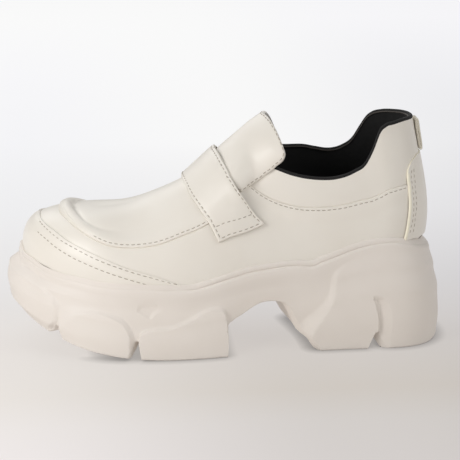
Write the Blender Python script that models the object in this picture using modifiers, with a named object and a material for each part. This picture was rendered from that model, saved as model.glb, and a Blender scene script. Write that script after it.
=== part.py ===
"""Platform loafer: a left shoe with a chunky moulded sole, a moc-toe upper and a padded collar.

The shoe stands on the plane z = 0 with its toe towards -X, its outer (lateral) side towards -Y
and +Z up.  Tables and sizes are in millimetres; the meshes are made in metres.

Every curved piece comes from two functions: `shell`, the outside of the upper between its
feather line and its collar or top line, and `rim`, the plan outline of the sole.
"""
import math

import bmesh
import bpy
import numpy as np

MM = 0.001


def columns(names, rows):
    """A short table: column name -> array, a row for each section."""
    return {name: np.array(values, float) for name, values in zip(names, zip(*rows))}


# ----------------------------------------------------------------------------- driving sizes, mm
TOE_X, HEEL_X = -129.0, 127.2            # tips of the upper's feather line
SOLE_TOE_X, SOLE_HEEL_X = -140.0, 140.0  # tips of the sole
TOE_CAP, HEEL_CAP = 66.0, 35.0           # length over which each end rounds off
TOE_ROUND, HEEL_ROUND = 2.12, 2.25       # 2 is an ellipse, more is squarer
SOLE_HEEL_ROUND = 2.5
SOLE_SPREAD = 6.6                        # the sole's overhang at the side of the upper
SOLE_SCALE = (SOLE_HEEL_X - SOLE_TOE_X) / (HEEL_X - TOE_X)

WALL = 2.2               # upper: leather, padding and lining
GAP = 0.4                # between pieces that touch
INSOLE_THICK = 4.5
STRAP_THICK = 2.0
TONGUE_THICK = 2.8
COUNTER_THICK = 1.3
LOOP_THICK, LOOP_WIDTH = 3.4, 11.0

# plan of the last: centre line (the left/right curve) and half width at the feather line
PLAN = columns(("x", "centre", "half"), [
    (-129, 9.8, 46.5),
    (-100, 4.2, 48.0),
    (-65, 0.2, 49.0),
    (-40, -1.2, 48.6),
    (-15, -2.8, 45.2),
    (15, -3.0, 40.0),
    (45, -1.8, 37.2),
    (80, 0.0, 36.6),
    (130, 0.8, 36.6)])

# heights along the shoe: lip of the sole, second ridge below it, footbed inside
HEIGHTS = columns(("x", "welt", "ridge", "footbed"), [
    (-129, 62.5, 56.5, 56.5), (-128.4, 60.6, 54.6, 56.3), (-127.4, 58.9, 52.9, 56),
    (-125.3, 58.3, 52.2, 55.6), (-122.6, 58, 51.8, 55), (-116, 55.2, 49, 53.5),
    (-105.8, 53, 46.6, 50.3), (-95, 51.9, 45.3, 48.2), (-83, 50.3, 43.2, 46.5),
    (-70, 49.3, 42.2, 45.1), (-51, 48.5, 41.4, 43.7), (-36, 47.8, 40.6, 42.8), (-26, 47.8, 40.5, 42.8),
    (-14, 50.2, 42.9, 44.2), (-1.4, 53.6, 46.3, 45.9), (11.4, 56.7, 49.4, 48.5),
    (24, 58.2, 50.9, 50.9), (32, 59, 51.7, 52.2), (40, 59.2, 51.9, 53.2), (50, 58.4, 51.1, 54.6),
    (57, 60.9, 53.7, 55.8), (63.6, 63.1, 56, 57.3), (74.5, 67.2, 60.2, 60.2), (86.8, 70.5, 63.6, 63.6),
    (98.5, 71.6, 64.8, 65.5), (111, 69.8, 63.2, 65.9), (119.6, 67.1, 60.6, 66), (127, 64.4, 58, 66)])

# top line of the vamp, from the toe plug up to the throat
TOP = columns(("x", "z"), [
    (-97, 86), (-84, 86.2), (-70, 87.2), (-58, 90.2), (-44, 95.8), (-28, 103.2), (-10, 114.2),
    (6, 124.6)])
TOP_CENTRE = columns(("x", "y"), [(-97, 4.0), (-60, 1.0), (-30, -1.0), (6, -1.5)])
# where a column that starts at x on the feather line ends on the top line
REACH = columns(("x", "top"), [
    (-129, -80), (-118, -78), (-104, -74), (-88, -69), (-70, -61.5),
    (-50, -47.5), (-30, -28), (-12, -8), (-1, 6)])
# fullness of the forepart's sections: 0.55 is round, more is boxy
FULLNESS = columns(("x", "side", "top"), [
    (-129, 0.74, 0.84), (-100, 0.8, 0.75), (-60, 0.57, 0.57), (-20, 0.54, 0.55), (10, 0.5, 0.5)])
BULGE = columns(("x", "low", "high"), [
    (-129, 0.25, 0), (-100, 1.4, 0), (-50, 1, 0), (0, 0.5, 0), (60, 1.5, 0.6), (110, 2.5, 2),
    (130, 2.6, 2.2)])

# the opening: an oval from the throat to the back, with its own height on each side
THROAT_STATION, THROAT_X = -1.0, 6.0
COLLAR_BACK_X, COLLAR_HALF, COLLAR_ROUND = 119.6, 32.5, 2.25
COLLAR = columns(("x", "lateral", "medial"), [
    (6, 124.6, 124.6),
    (14, 121.2, 122.4),
    (29, 115.4, 119.4),
    (40, 111.6, 117.6),
    (54, 109.2, 117.0),
    (62, 108.9, 115.4),
    (70, 109.9, 114.2),
    (79, 113.2, 116.2),
    (86, 118.0, 121.4),
    (91, 127.6, 129.8),
    (95, 137.6, 136.0),
    (99, 141.0, 139.2),
    (104, 141.9, 140.8),
    (113, 143.0, 141.9),
    (121, 142.6, 142.6)])

# moc seam on the forepart (t runs up a section, 0 feather line to 1 top line), and its rolled edge
MOC = columns(("x", "t", "width", "roll", "sink"), [
    (-129, 0.75, 7.0, 3.0, 1.6),
    (-117.5, 0.68, 7.0, 3.0, 1.6),
    (-99, 0.53, 7.0, 2.8, 1.3),
    (-88, 0.45, 7.6, 2.3, 0.9),
    (-80, 0.405, 8.6, 1.6, 0.5),
    (-72, 0.373, 10.0, 1.0, 0.2),
    (-61, 0.359, 12.0, 0.5, 0.0),
    (-50, 0.36, 13.0, 0.3, 0.0),
    (-30, 0.382, 14.0, 0.0, 0.0),
    (-15, 0.387, 14.0, 0.0, 0.0),
    (40, 0.40, 15.0, 0.0, 0.0),
    (130, 0.40, 15.0, 0.0, 0.0)])

# side wall of the sole: how far it stands out at five heights, 0 at the upper, 1 at the rim
FLARE_LEVELS = (0.0, 0.2, 0.45, 0.75, 1.0)
FLARE = columns(("x", "top", "high", "middle", "low", "foot"), [
    (-140, 0.3, 0.88, 1, 0.86, 0.35), (-118, 0.32, 0.78, 0.98, 0.95, 0.62),
    (-85, 0.36, 0.6, 0.82, 0.96, 0.88), (-30, 0.36, 0.55, 0.78, 0.94, 0.9),
    (0, 0.36, 0.52, 0.68, 0.82, 0.84), (28, 0.36, 0.5, 0.66, 0.8, 0.8),
    (55, 0.36, 0.52, 0.72, 0.88, 0.86), (75, 0.34, 0.52, 0.76, 0.92, 0.88),
    (110, 0.36, 0.54, 0.8, 0.94, 0.87), (140, 0.38, 0.6, 0.82, 0.88, 0.8)])

# grooves right across the tread: feet and roof of each trapezoid
GROOVES = columns(("foot_front", "roof_front", "roof_back", "foot_back", "roof"), [
    (-117.8, -112.6, -108.5, -108.1, 19.2), (-66, -62.6, -59.3, -57.5, 12),
    (88.7, 92.9, 98.6, 102.2, 10.5)])
# hollow under the arch, from the last forefoot lug to the heel breast
ARCH = columns(("x", "z"), [
    (-2.3, 0), (-1.7, 18.6), (1.9, 21.9), (9, 25.6), (16, 29.7), (19.5, 31.5), (23, 32.6), (29, 33.1),
    (36, 31.9), (40.5, 29.5), (43.5, 25), (47.5, 18.4), (50.2, 12.4), (54, 5.8), (56.4, 2.4),
    (58.6, 0)])
ROCKER_START, ROCKER_RADIUS = -38.0, 230.0   # toe spring
BACK_START, BACK_RADIUS = 128.0, 40.0        # lifted edge at the back of the heel

# lugs on the side wall: top edge of the second and third, front edge of the heel, back of the toe
SECOND_LUG = columns(("x", "z"), [
    (-108.6, 18.6), (-105, 23), (-100, 27), (-95, 29.3), (-88, 30), (-81, 29.2), (-76.2, 27.7),
    (-71.4, 25.1), (-67.9, 21.4), (-65.5, 17.4), (-64.6, 8)])
THIRD_LUG = columns(("x", "z"), [
    (-58.8, 8), (-58.6, 15), (-56.7, 17.5), (-52.5, 19.1), (-45.9, 19.6), (-38.7, 20.4), (-31.4, 22.8),
    (-24.4, 25.9), (-18.6, 29.2), (-13.2, 30.6), (-7.5, 30.6), (-4.3, 28.3), (-3.1, 23.3), (-2.4, 8)])
TOE_LUG = columns(("z", "x"), [
    (13.9, -118), (21.4, -112.4), (27, -111.2), (32.2, -111.6), (36.2, -114.3), (39.8, -119.3),
    (44.5, -123.4), (48.2, -128.2), (52.5, -134), (60, -140)])
HEEL_LUG = columns(("z", "x"), [
    (4, 51.8), (10.2, 52.8), (16, 55.7), (21.3, 60.2), (27.3, 64.6), (34, 67.4), (41.8, 69.6),
    (47.4, 70.6), (51.2, 72.9), (54.3, 76.6), (57, 81.6), (58.9, 88)])
LUG_EDGE = 2.5
# how deep the side wall lies back between the lugs, at its top and at its foot
HOLLOW = columns(("x", "top", "foot"), [
    (-140, 1.4, 3.0), (-30, 1.9, 3.0), (-5, 2.0, 4.6), (12, 2.2, 7.2), (40, 2.2, 7.6), (56, 2.2, 6.2),
    (66, 2.2, 4.2), (80, 2.2, 3.0), (140, 2.2, 3.0)])
# drop-shaped notch above the heel groove
NOTCH = columns(("z", "front", "back"), [
    (0, 90.2, 103.1), (5.2, 92.5, 103.3), (10.5, 94, 103.4), (14.8, 94.6, 103.5), (21.4, 94.3, 103.7),
    (27.9, 93.7, 102.9), (32.2, 92.5, 100.4), (34.4, 92.9, 95)])
NOTCH_DEPTH, NOTCH_EDGE = 4.0, 2.5

# saddle strap: its front and back edges as (station, t), from its lower end (0) to the top (1)
STRAP = columns(("up", "front", "front_t", "back", "back_t"), [
    (0, -8.4, 0.246, 24.2, 0.366), (0.2, -13.7, 0.375, 12.6, 0.44), (0.4, -19, 0.5, 3.6, 0.503),
    (0.65, -25.5, 0.7, -1.9, 0.641), (0.82, -28, 0.85, -5.4, 0.795), (1, -29.5, 1, -8.4, 1)])
STRAP_SAG = 0.034        # bow of its lower ends, as t
# tongue: its underside on the centre line, and its lower edge as a place on the shell, raised
TONGUE = columns(("along", "x", "z", "station", "t", "raise"), [
    (0, -9, 116, -3.8, 0.57, 0), (0.18, -5.5, 118.4, 0, 0.535, 0), (0.35, 0.5, 123.8, 5.7, 0.525, 0),
    (0.5, 7, 129.4, 15.1, 0.612, 0), (0.65, 13, 134.6, 31.1, 0.787, 0),
    (0.8, 18, 138.9, 41.1, 0.922, 0.3), (0.92, 22, 142.2, 48.5, 1, 3.2), (1, 25, 144.8, 53.8, 1, 6.9)])
# heel counter: its front edge up the quarter
COUNTER = columns(("t", "station"), [
    (0.07, 110.0), (0.17, 111.0), (0.337, 112.7), (0.451, 113.2), (0.566, 114.0),
    (0.625, 116.2), (0.665, 119.6), (0.685, 122.5)])
# pull loop: its line down the back of the collar
LOOP = columns(("z", "x"), [
    (120.6, 123.6), (124.0, 123.1), (128.5, 122.3), (133.0, 121.5), (137.0, 120.9), (141.0, 120.4)])

# number of steps along each stretch
TOE_STEPS, MIDDLE_STEPS, HEEL_STEPS = 10, 19, 8
SHELL_RINGS_BELOW, SHELL_RINGS_ABOVE = (0.0, 0.12, 0.35, 0.6, 0.82), (0.3, 0.55, 0.78, 1.0)
MOC_RINGS = (0.0, 0.25, 0.55, 0.85, 1.15)
WALL_RINGS = (0.1, 0.24, 0.4, 0.56, 0.72, 0.88)
SOLE_EDGE = 1.6          # softened edge of the tread

IVORY = (0.79, 0.74, 0.66)
SOLE_IVORY = (0.77, 0.71, 0.63)
CREAM = (0.78, 0.71, 0.55)
BLACK = (0.015, 0.015, 0.016)


# ----------------------------------------------------------------------------- curves and outlines
def follow(table, column, x, key="x"):
    """Smooth curve without overshoot through one column of a table."""
    xs, ys = table[key], table[column]
    x = np.clip(np.asarray(x, float), xs[0], xs[-1])
    step = np.diff(xs)
    slope = np.diff(ys) / step
    tangent = np.empty_like(ys)
    tangent[0], tangent[-1] = slope[0], slope[-1]
    mean = (step[:-1] * slope[1:] + step[1:] * slope[:-1]) / (step[:-1] + step[1:])
    limit = 3 * np.minimum(np.abs(slope[:-1]), np.abs(slope[1:]))
    tangent[1:-1] = np.where(slope[:-1] * slope[1:] > 0, np.clip(mean, -limit, limit), 0)
    i = np.clip(np.searchsorted(xs, x, side="right") - 1, 0, len(xs) - 2)
    t = (x - xs[i]) / step[i]
    return ((2 * t - 3) * t * t + 1) * ys[i] + ((t - 2) * t + 1) * t * tangent[i] * step[i] \
        + (3 - 2 * t) * t * t * ys[i + 1] + (t - 1) * t * t * tangent[i + 1] * step[i]


def ease(t):
    """Soft step from 0 to 1."""
    t = np.clip(t, 0, 1)
    return t * t * (3 - 2 * t)


def bezier(p0, p1, p2, p3, t):
    s = 1 - t
    return s ** 3 * p0 + 3 * s * s * t * p1 + 3 * s * t * t * p2 + t ** 3 * p3


def outline(x, side, toe_x, heel_x, scale, heel_round, spread):
    """One side (-1 lateral, 1 medial) of a plan outline, rounded off at both ends."""
    toe = np.clip((toe_x - x) / (TOE_CAP * scale) + 1, 0, 1)
    heel = np.clip((x - heel_x) / (HEEL_CAP * scale) + 1, 0, 1)
    cap = (1 - toe ** TOE_ROUND) ** (1 / TOE_ROUND) * (1 - heel ** heel_round) ** (1 / heel_round)
    return follow(PLAN, "centre", x) + side * (follow(PLAN, "half", x) + spread) * cap


def feather(station, side):
    """Feather line, where the upper meets the sole.  A station is its x."""
    return station, outline(station, side, TOE_X, HEEL_X, 1, HEEL_ROUND, 0)


def rim(station, side):
    """Widest outline of the sole, beside the same station."""
    x = SOLE_TOE_X + (station - TOE_X) * SOLE_SCALE
    return x, outline(x, side, SOLE_TOE_X, SOLE_HEEL_X, SOLE_SCALE, SOLE_HEEL_ROUND, SOLE_SPREAD)


def station_beside(sole_x):
    return TOE_X + (np.asarray(sole_x, float) - SOLE_TOE_X) / SOLE_SCALE


# ----------------------------------------------------------------------------- the upper's surface
def rear_spread():
    """Stations behind the throat against their share of the way round the feather line."""
    station = THROAT_STATION + (HEEL_X - THROAT_STATION) * np.sin(np.linspace(0, math.pi / 2, 400))
    x, y = feather(station, -1)
    way = np.concatenate([[0], np.cumsum(np.hypot(np.diff(x), np.diff(y)))])
    return station, way / way[-1]


REAR_STATION, REAR_SHARE = rear_spread()


def collar_point(station, side):
    """Collar line above a station: x, y, z and how far the point is out to the side."""
    share = np.interp(station, REAR_STATION, REAR_SHARE)
    cos, sin = np.cos(math.pi * share), np.sin(math.pi * share)
    reach = (COLLAR_BACK_X - THROAT_X) / 2
    x = THROAT_X + reach - reach * np.sign(cos) * np.abs(cos) ** (2 / COLLAR_ROUND)
    out = np.abs(sin) ** (2 / COLLAR_ROUND)
    centre = -1.5 * (COLLAR_BACK_X - x) / (COLLAR_BACK_X - THROAT_X)
    z = np.where(side < 0, follow(COLLAR, "lateral", x), follow(COLLAR, "medial", x))
    return x, centre + side * COLLAR_HALF * out, z, np.where(share > 0.5, 1, out)


def shell(station, side, t):
    """Outside of the plain upper: t runs from 0, the feather line, to 1, the top or collar line."""
    station, side, t = np.broadcast_arrays(*(np.asarray(v, float) for v in (station, side, t)))
    fx, fy = feather(station, side)
    fz = follow(HEIGHTS, "footbed", fx) + GAP
    forepart = station <= THROAT_STATION
    top_x = follow(REACH, "top", station)
    cx, cy, cz, out = collar_point(np.maximum(station, THROAT_STATION), side)
    tx = np.where(forepart, top_x, cx)
    ty = np.where(forepart, np.interp(top_x, TOP_CENTRE["x"], TOP_CENTRE["y"]), cy)
    tz = np.where(forepart, follow(TOP, "z", top_x), cz)
    upright = np.where(forepart, 0, ease(out * 1.05))
    rx, ry = rim(station, side)
    away = np.hypot(rx - fx, ry - fy) + 1e-9
    ax, ay = (rx - fx) / away, (ry - fy) / away
    side_full, top_full = follow(FULLNESS, "side", station), follow(FULLNESS, "top", station)
    low = 2 * follow(BULGE, "low", station)
    high = follow(BULGE, "high", station) * upright
    lift = (tz - fz) * (side_full + (0.36 - side_full) * upright)
    flat = (1 - upright) * top_full
    drop = 0.34 * (tz - fz) * upright
    return np.stack([
        bezier(fx, fx + ax * low, tx + (fx - tx) * flat + ax * high, tx, t),
        bezier(fy, fy + ay * low, ty + (fy - ty) * flat + ay * high, ty, t),
        bezier(fz, fz + lift, tz - drop, tz, t)], axis=-1)


def outward(station, side, t):
    """Unit normal of the shell."""
    span, rise = 0.4, 0.01
    ahead, behind = np.minimum(station + span, HEEL_X), np.maximum(station - span, TOE_X)
    along = shell(ahead, side, t) - shell(behind, side, t)
    up = shell(station, side, np.minimum(t + rise, 1)) - shell(station, side, np.maximum(t - rise, 0))
    normal = np.cross(along, up) * -np.asarray(side, float)[..., None]
    return normal / (np.linalg.norm(normal, axis=-1, keepdims=True) + 1e-12)


def column_length(station, side):
    """Length of a section of the shell, from the feather line to its top."""
    t = np.linspace(0, 1, 25)[:, None]
    points = shell(station[None, :], side[None, :], t)
    return np.linalg.norm(np.diff(points, axis=0), axis=-1).sum(axis=0)


def moc_relief(station, distance):
    """Height of the moc seam's rolled edge, at a distance above the seam in mm."""
    width = follow(MOC, "width", station)
    d = distance / width
    roll = np.where((d > 0) & (d < 1), np.sin(np.pi * np.clip(d, 0, 1)) ** 0.8, 0)
    valley = np.exp(-((d - 1.12) / 0.16) ** 2)
    crease = np.exp(-(d / 0.07) ** 2)
    rolled = follow(MOC, "roll", station)
    return rolled * roll - follow(MOC, "sink", station) * valley - 0.25 * rolled * crease


# ----------------------------------------------------------------------------- mesh helpers
def loop_of(stations):
    """Stations once round the shoe: toe tip, lateral side, heel tip, medial side."""
    inner = stations[1:-1]
    station = np.concatenate([stations[:1], inner, stations[-1:], inner[::-1]])
    side = np.concatenate([[-1.0], -np.ones(len(inner)), [-1.0], np.ones(len(inner))])
    return station, side


def stations_along(extra=()):
    """Stations from toe to heel: even steps round both ends, and any extra ones."""
    toe = TOE_X + TOE_CAP * (1 - np.cos(np.linspace(0, math.pi / 2, TOE_STEPS + 1)))
    heel = HEEL_X - HEEL_CAP * (1 - np.sin(np.linspace(0, math.pi / 2, HEEL_STEPS + 1)))
    middle = np.linspace(toe[-1], heel[0], MIDDLE_STEPS + 1)[1:-1]
    base = np.concatenate([toe, middle, heel])
    if len(extra):
        nearest = np.abs(base[:, None] - np.asarray(extra)[None, :]).min(axis=1)
        keep = (nearest > 1.6) | (base == TOE_X) | (base == HEEL_X)
        base = np.concatenate([base[keep], extra])
    return np.unique(base)


def new_object(name, mesh_maker, colour, roughness, parts):
    """Make an object from a function that fills a bmesh in millimetres."""
    bm = bmesh.new()
    mesh_maker(bm)
    bmesh.ops.scale(bm, vec=(MM, MM, MM), verts=bm.verts)
    mesh = bpy.data.meshes.new(name)
    bm.to_mesh(mesh)
    bm.free()
    mesh.shade_smooth()
    mesh.set_sharp_from_angle(angle=math.radians(35))
    piece = bpy.data.objects.new(name, mesh)
    parts.objects.link(piece)
    material = bpy.data.materials.new(name)
    material.use_nodes = True
    surface = material.node_tree.nodes["Principled BSDF"]
    surface.inputs["Base Color"].default_value = (*colour, 1)
    surface.inputs["Roughness"].default_value = roughness
    surface.inputs["Metallic"].default_value = 0
    mesh.materials.append(material)
    return piece


def thicken(piece, thickness, outwards):
    """Give an open sheet its wall."""
    wall = piece.modifiers.new("Wall", "SOLIDIFY")
    wall.thickness = thickness * MM
    wall.offset = 1 if outwards else -1


def add_points(bm, points):
    return [bm.verts.new(p) for p in points]


def bridge(bm, lower, upper, closed):
    """Faces between two rows of points; a point that the rows share makes a triangle."""
    count = len(lower)
    for i in range(count if closed else count - 1):
        j = (i + 1) % count
        corners = []
        for vert in (lower[i], lower[j], upper[j], upper[i]):
            if vert not in corners:
                corners.append(vert)
        if len(corners) > 2:
            bm.faces.new(corners)


def cap_across(bm, ring, middle, upwards):
    """Close a ring of points round the shoe with rows from side to side."""
    count = len(ring)
    half = count // 2
    for i in range(half):
        for near, far in ((ring[i], ring[i + 1]), (ring[-i % count], ring[-(i + 1) % count])):
            corners = []
            for vert in (near, far, middle[i + 1], middle[i]):
                if vert is not None and vert not in corners:
                    corners.append(vert)
            face = bm.faces.new(corners)
            face.normal_update()
            if (face.normal.z > 0) != upwards:
                face.normal_flip()


# ----------------------------------------------------------------------------- sole
def tread_height(x):
    """Underside of the sole along its length, grooves and arch included."""
    height = np.maximum(ROCKER_START - x, 0) ** 2 / (2 * ROCKER_RADIUS)
    height = height + np.maximum(x - BACK_START, 0) ** 2 / (2 * BACK_RADIUS)
    for front, roof_front, roof_back, back, roof in zip(*GROOVES.values()):
        share = np.minimum((x - front) / (roof_front - front), (back - x) / (back - roof_back))
        height = height + (roof - height) * np.clip(share, 0, 1)
    in_arch = (x > ARCH["x"][0]) & (x < ARCH["x"][-1])
    return np.where(in_arch, np.maximum(height, follow(ARCH, "z", x)), height)


def on_lug(x, z):
    """1 over a lug of the side wall, 0 between the lugs."""
    depth = np.full(np.broadcast(x, z).shape, -99.0)
    for lug in (SECOND_LUG, THIRD_LUG):
        inside = np.minimum(x - lug["x"][0], lug["x"][-1] - x)
        depth = np.maximum(depth, np.minimum(follow(lug, "z", x) - z, inside))
    depth = np.maximum(depth, np.where(z < TOE_LUG["z"][-1], follow(TOE_LUG, "x", z, "z") - x, -99))
    depth = np.maximum(depth, np.minimum(x - follow(HEEL_LUG, "x", z, "z"), HEEL_LUG["z"][-1] + 3 - z))
    return ease(depth / LUG_EDGE)


def notch_relief(x, z):
    """How far the side wall sinks in at the notch of the heel."""
    inside = np.minimum(x - follow(NOTCH, "front", z, "z"), follow(NOTCH, "back", z, "z") - x)
    inside = np.minimum(inside, NOTCH["z"][-1] - z)
    return NOTCH_DEPTH * ease(inside / NOTCH_EDGE)


def flare(x, level):
    """Share of the overhang that the side wall has at a level, 0 top to 1 ground."""
    names = ("top", "high", "middle", "low", "foot")
    values = np.stack([follow(FLARE, name, x) for name in names])
    result = values[0]
    for k in range(len(names) - 1):
        share = (level - FLARE_LEVELS[k]) / (FLARE_LEVELS[k + 1] - FLARE_LEVELS[k])
        result = result + (values[k + 1] - values[k]) * ease(share)
    return result


def sole_mesh(bm):
    corners = [GROOVES[name] for name in ("foot_front", "roof_front", "roof_back", "foot_back")]
    edges = station_beside(np.concatenate(corners + [ARCH["x"]]))
    station, side = loop_of(stations_along(np.unique(edges)))
    fx, fy = feather(station, side)
    rx, ry = rim(station, side)
    away = np.hypot(rx - fx, ry - fy)
    ax, ay = (rx - fx) / away, (ry - fy) / away
    welt, ridge = follow(HEIGHTS, "welt", fx), follow(HEIGHTS, "ridge", fx)
    under = tread_height(rx)
    ground = np.maximum(ROCKER_START - rx, 0) ** 2 / (2 * ROCKER_RADIUS)

    def ring(out, z, start_x=fx, start_y=fy):
        return add_points(bm, np.stack([start_x + ax * out, start_y + ay * out, z * np.ones_like(fx)], axis=-1))

    def wall_out(z, inset=0.0):
        level = (ridge - z) / (ridge - ground)
        top, foot = follow(HOLLOW, "top", rx), follow(HOLLOW, "foot", rx)
        hollow = (top + (foot - top) * ease((level - 0.2) / 0.55)) * ease(level / 0.15)
        return away * flare(rx, level) - hollow * (1 - on_lug(rx, z)) - notch_relief(rx, z) - inset

    # the lip follows the upper, so it starts from the upper's own section at the welt
    trial = np.linspace(0, 0.25, 26)
    height = shell(station[None, :], side[None, :], trial[:, None])
    index = np.argmax(height[..., 2] >= welt, axis=0)
    lip = height[index, np.arange(len(station))]
    rings = [
        ring(GAP, follow(HEIGHTS, "footbed", fx)),
        ring(GAP, welt - 0.5, lip[:, 0], lip[:, 1]),
        ring(GAP + 1.2, welt, lip[:, 0], lip[:, 1]),
        ring(GAP + 2.2, welt - 1.2, lip[:, 0], lip[:, 1]),
        ring(away * follow(FLARE, "top", rx), ridge)]
    edge = under + SOLE_EDGE
    for share in WALL_RINGS:
        z = ridge + (edge - ridge) * share
        rings.append(ring(wall_out(z), z))
    rings.append(ring(wall_out(edge), edge))
    rings.append(ring(wall_out(edge, SOLE_EDGE), under))
    for lower, upper in zip(rings[1:], rings[:-1]):
        bridge(bm, lower, upper, closed=True)
    half = len(station) // 2
    footbed = follow(HEIGHTS, "footbed", fx)
    for ring_verts, z, upwards in ((rings[0], footbed, True), (rings[-1], under, False)):
        middle = [ring_verts[0]]
        for i in range(1, half):
            a, b = ring_verts[i].co, ring_verts[-i].co
            middle.append(bm.verts.new(((a.x + b.x) / 2, (a.y + b.y) / 2, z[i])))
        middle.append(ring_verts[half])
        cap_across(bm, ring_verts, middle, upwards)
    bmesh.ops.recalc_face_normals(bm, faces=bm.faces)


# ----------------------------------------------------------------------------- insole
def insole_mesh(bm):
    station, side = loop_of(stations_along())
    fx, fy = feather(station, side)
    rx, ry = rim(station, side)
    away = np.hypot(rx - fx, ry - fy)
    ax, ay = (rx - fx) / away, (ry - fy) / away
    floor = follow(HEIGHTS, "footbed", fx) + GAP
    half = len(station) // 2
    rings = []
    for inset, z in ((WALL + 2.0, floor), (WALL + 3.7, floor + INSOLE_THICK)):
        rings.append(add_points(bm, np.stack([fx - ax * inset, fy - ay * inset, z], axis=-1)))
    bridge(bm, rings[0], rings[1], closed=True)
    for ring_verts, upwards in ((rings[0], False), (rings[1], True)):
        middle = [ring_verts[0]]
        for i in range(1, half):
            a, b = ring_verts[i].co, ring_verts[-i].co
            middle.append(bm.verts.new((a + b) / 2))
        middle.append(ring_verts[half])
        cap_across(bm, ring_verts, middle, upwards)
    bmesh.ops.recalc_face_normals(bm, faces=bm.faces)


# ----------------------------------------------------------------------------- upper
def upper_mesh(bm):
    station, side = loop_of(stations_along())
    seam = follow(MOC, "t", station)
    length = column_length(station, side)
    width = follow(MOC, "width", station) / length
    levels = [seam * share for share in SHELL_RINGS_BELOW]
    levels += [seam + width * share for share in MOC_RINGS]
    last = levels[-1]
    levels += [last + (1 - last) * share for share in SHELL_RINGS_ABOVE]
    levels = np.minimum(np.array(levels), 1)
    points = shell(station[None, :], side[None, :], levels)
    normal = outward(station[None, :] * np.ones_like(levels), side[None, :] * np.ones_like(levels), levels)
    relief = moc_relief(station[None, :], (levels - seam) * length)
    points = points + normal * relief[..., None]
    rings = [add_points(bm, row) for row in points]
    # the forepart's columns meet their mirror partners on the top line
    count = len(station)
    for i in range(1, count // 2):
        if station[i] <= THROAT_STATION:
            partner = rings[-1][count - i]
            bmesh.ops.pointmerge(bm, verts=[rings[-1][i], partner], merge_co=rings[-1][i].co.copy())
            merged = rings[-1][i] if rings[-1][i].is_valid else partner
            rings[-1][i] = rings[-1][count - i] = merged
    for lower, upper in zip(rings[:-1], rings[1:]):
        bridge(bm, lower, upper, closed=True)


# ----------------------------------------------------------------------------- overlays
def sheet(bm, points):
    """Open sheet from rows of points, with its faces towards +up of the row order."""
    rows = [add_points(bm, row) for row in points]
    for lower, upper in zip(rows[:-1], rows[1:]):
        bridge(bm, lower, upper, closed=False)


def strap_mesh(bm):
    across = np.linspace(-1, 1, 29)
    side = np.where(across < 0, -1.0, 1.0)
    up = 1 - np.abs(across)
    rows = []
    for share in np.linspace(0, 1, 6):
        station = follow(STRAP, "front", up, "up") * (1 - share) + follow(STRAP, "back", up, "up") * share
        t = follow(STRAP, "front_t", up, "up") * (1 - share) + follow(STRAP, "back_t", up, "up") * share
        t = t - STRAP_SAG * 4 * share * (1 - share) * (1 - ease(up / 0.25))
        over_tongue = np.clip(share / 0.88, 0, 1) * ease((up - 0.02) / 0.40)
        lift = GAP + 0.1 + (TONGUE_THICK + 2.3) * over_tongue
        rows.append(shell(station, side, t) + outward(station, side, t) * lift[:, None])
    sheet(bm, rows[::-1])


def tongue_mesh(bm):
    across = np.linspace(-1, 1, 23)
    side = np.where(across < 0, -1.0, 1.0)
    t = 1 - np.abs(across)
    rows = []
    for share in (0, 0.1, 0.18, 0.27, 0.35, 0.43, 0.5, 0.58, 0.65, 0.73, 0.8, 0.87, 0.92, 1.0):
        cx, cz, station, level, rise = (float(follow(TONGUE, name, share, "along"))
                                        for name in ("x", "z", "station", "t", "raise"))
        place = np.full_like(side, station), side, np.full_like(side, level)
        edge = shell(*place) + outward(*place) * (GAP + 0.4)
        ex, ey, ez = edge[:, 0], edge[:, 1], edge[:, 2] + rise
        rows.append(np.stack([
            bezier(ex, ex + 0.3 * (cx - ex), cx + 0.3 * (ex - cx), cx, t),
            bezier(ey, ey, 0.56 * ey, -1.5, t),
            bezier(ez, ez + 0.5 * (cz - ez), cz, cz, t)], axis=-1))
    sheet(bm, rows[::-1])


def counter_mesh(bm):
    across = np.linspace(-1, 1, 23)
    rows = []
    for t_row in COUNTER["t"]:
        front = float(follow(COUNTER, "station", t_row, "t"))
        # even steps round the back of the heel
        start = math.acos((front - HEEL_X + HEEL_CAP) / HEEL_CAP)
        station = HEEL_X - HEEL_CAP + HEEL_CAP * np.cos(start * np.abs(across))
        side = np.where(across < 0, -1.0, 1.0)
        t = np.full_like(station, t_row)
        rows.append(shell(station, side, t) + outward(station, side, t) * (GAP + 0.4))
    sheet(bm, rows)


def loop_mesh(bm):
    rows = []
    for z in LOOP["z"]:
        x = float(follow(LOOP, "x", z, "z"))
        y = np.linspace(-LOOP_WIDTH / 2, LOOP_WIDTH / 2, 3)
        rows.append(np.stack([np.full(3, x), y, np.full(3, z)], axis=-1))
    sheet(bm, rows)


# ----------------------------------------------------------------------------- assembly
def main():
    for old in list(bpy.data.objects):
        bpy.data.objects.remove(old, do_unlink=True)
    parts = bpy.data.collections.new("platform_loafer")
    bpy.context.scene.collection.children.link(parts)
    new_object("sole", sole_mesh, SOLE_IVORY, 0.6, parts)
    new_object("insole", insole_mesh, BLACK, 0.9, parts)
    thicken(new_object("upper", upper_mesh, IVORY, 0.45, parts), WALL, outwards=False)
    thicken(new_object("tongue", tongue_mesh, IVORY, 0.45, parts), TONGUE_THICK, outwards=True)
    thicken(new_object("saddle_strap", strap_mesh, IVORY, 0.45, parts), STRAP_THICK, outwards=True)
    thicken(new_object("heel_counter", counter_mesh, IVORY, 0.45, parts), COUNTER_THICK, outwards=True)
    thicken(new_object("pull_loop", loop_mesh, CREAM, 0.7, parts), LOOP_THICK, outwards=True)


if __name__ == "__main__":
    main()
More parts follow.
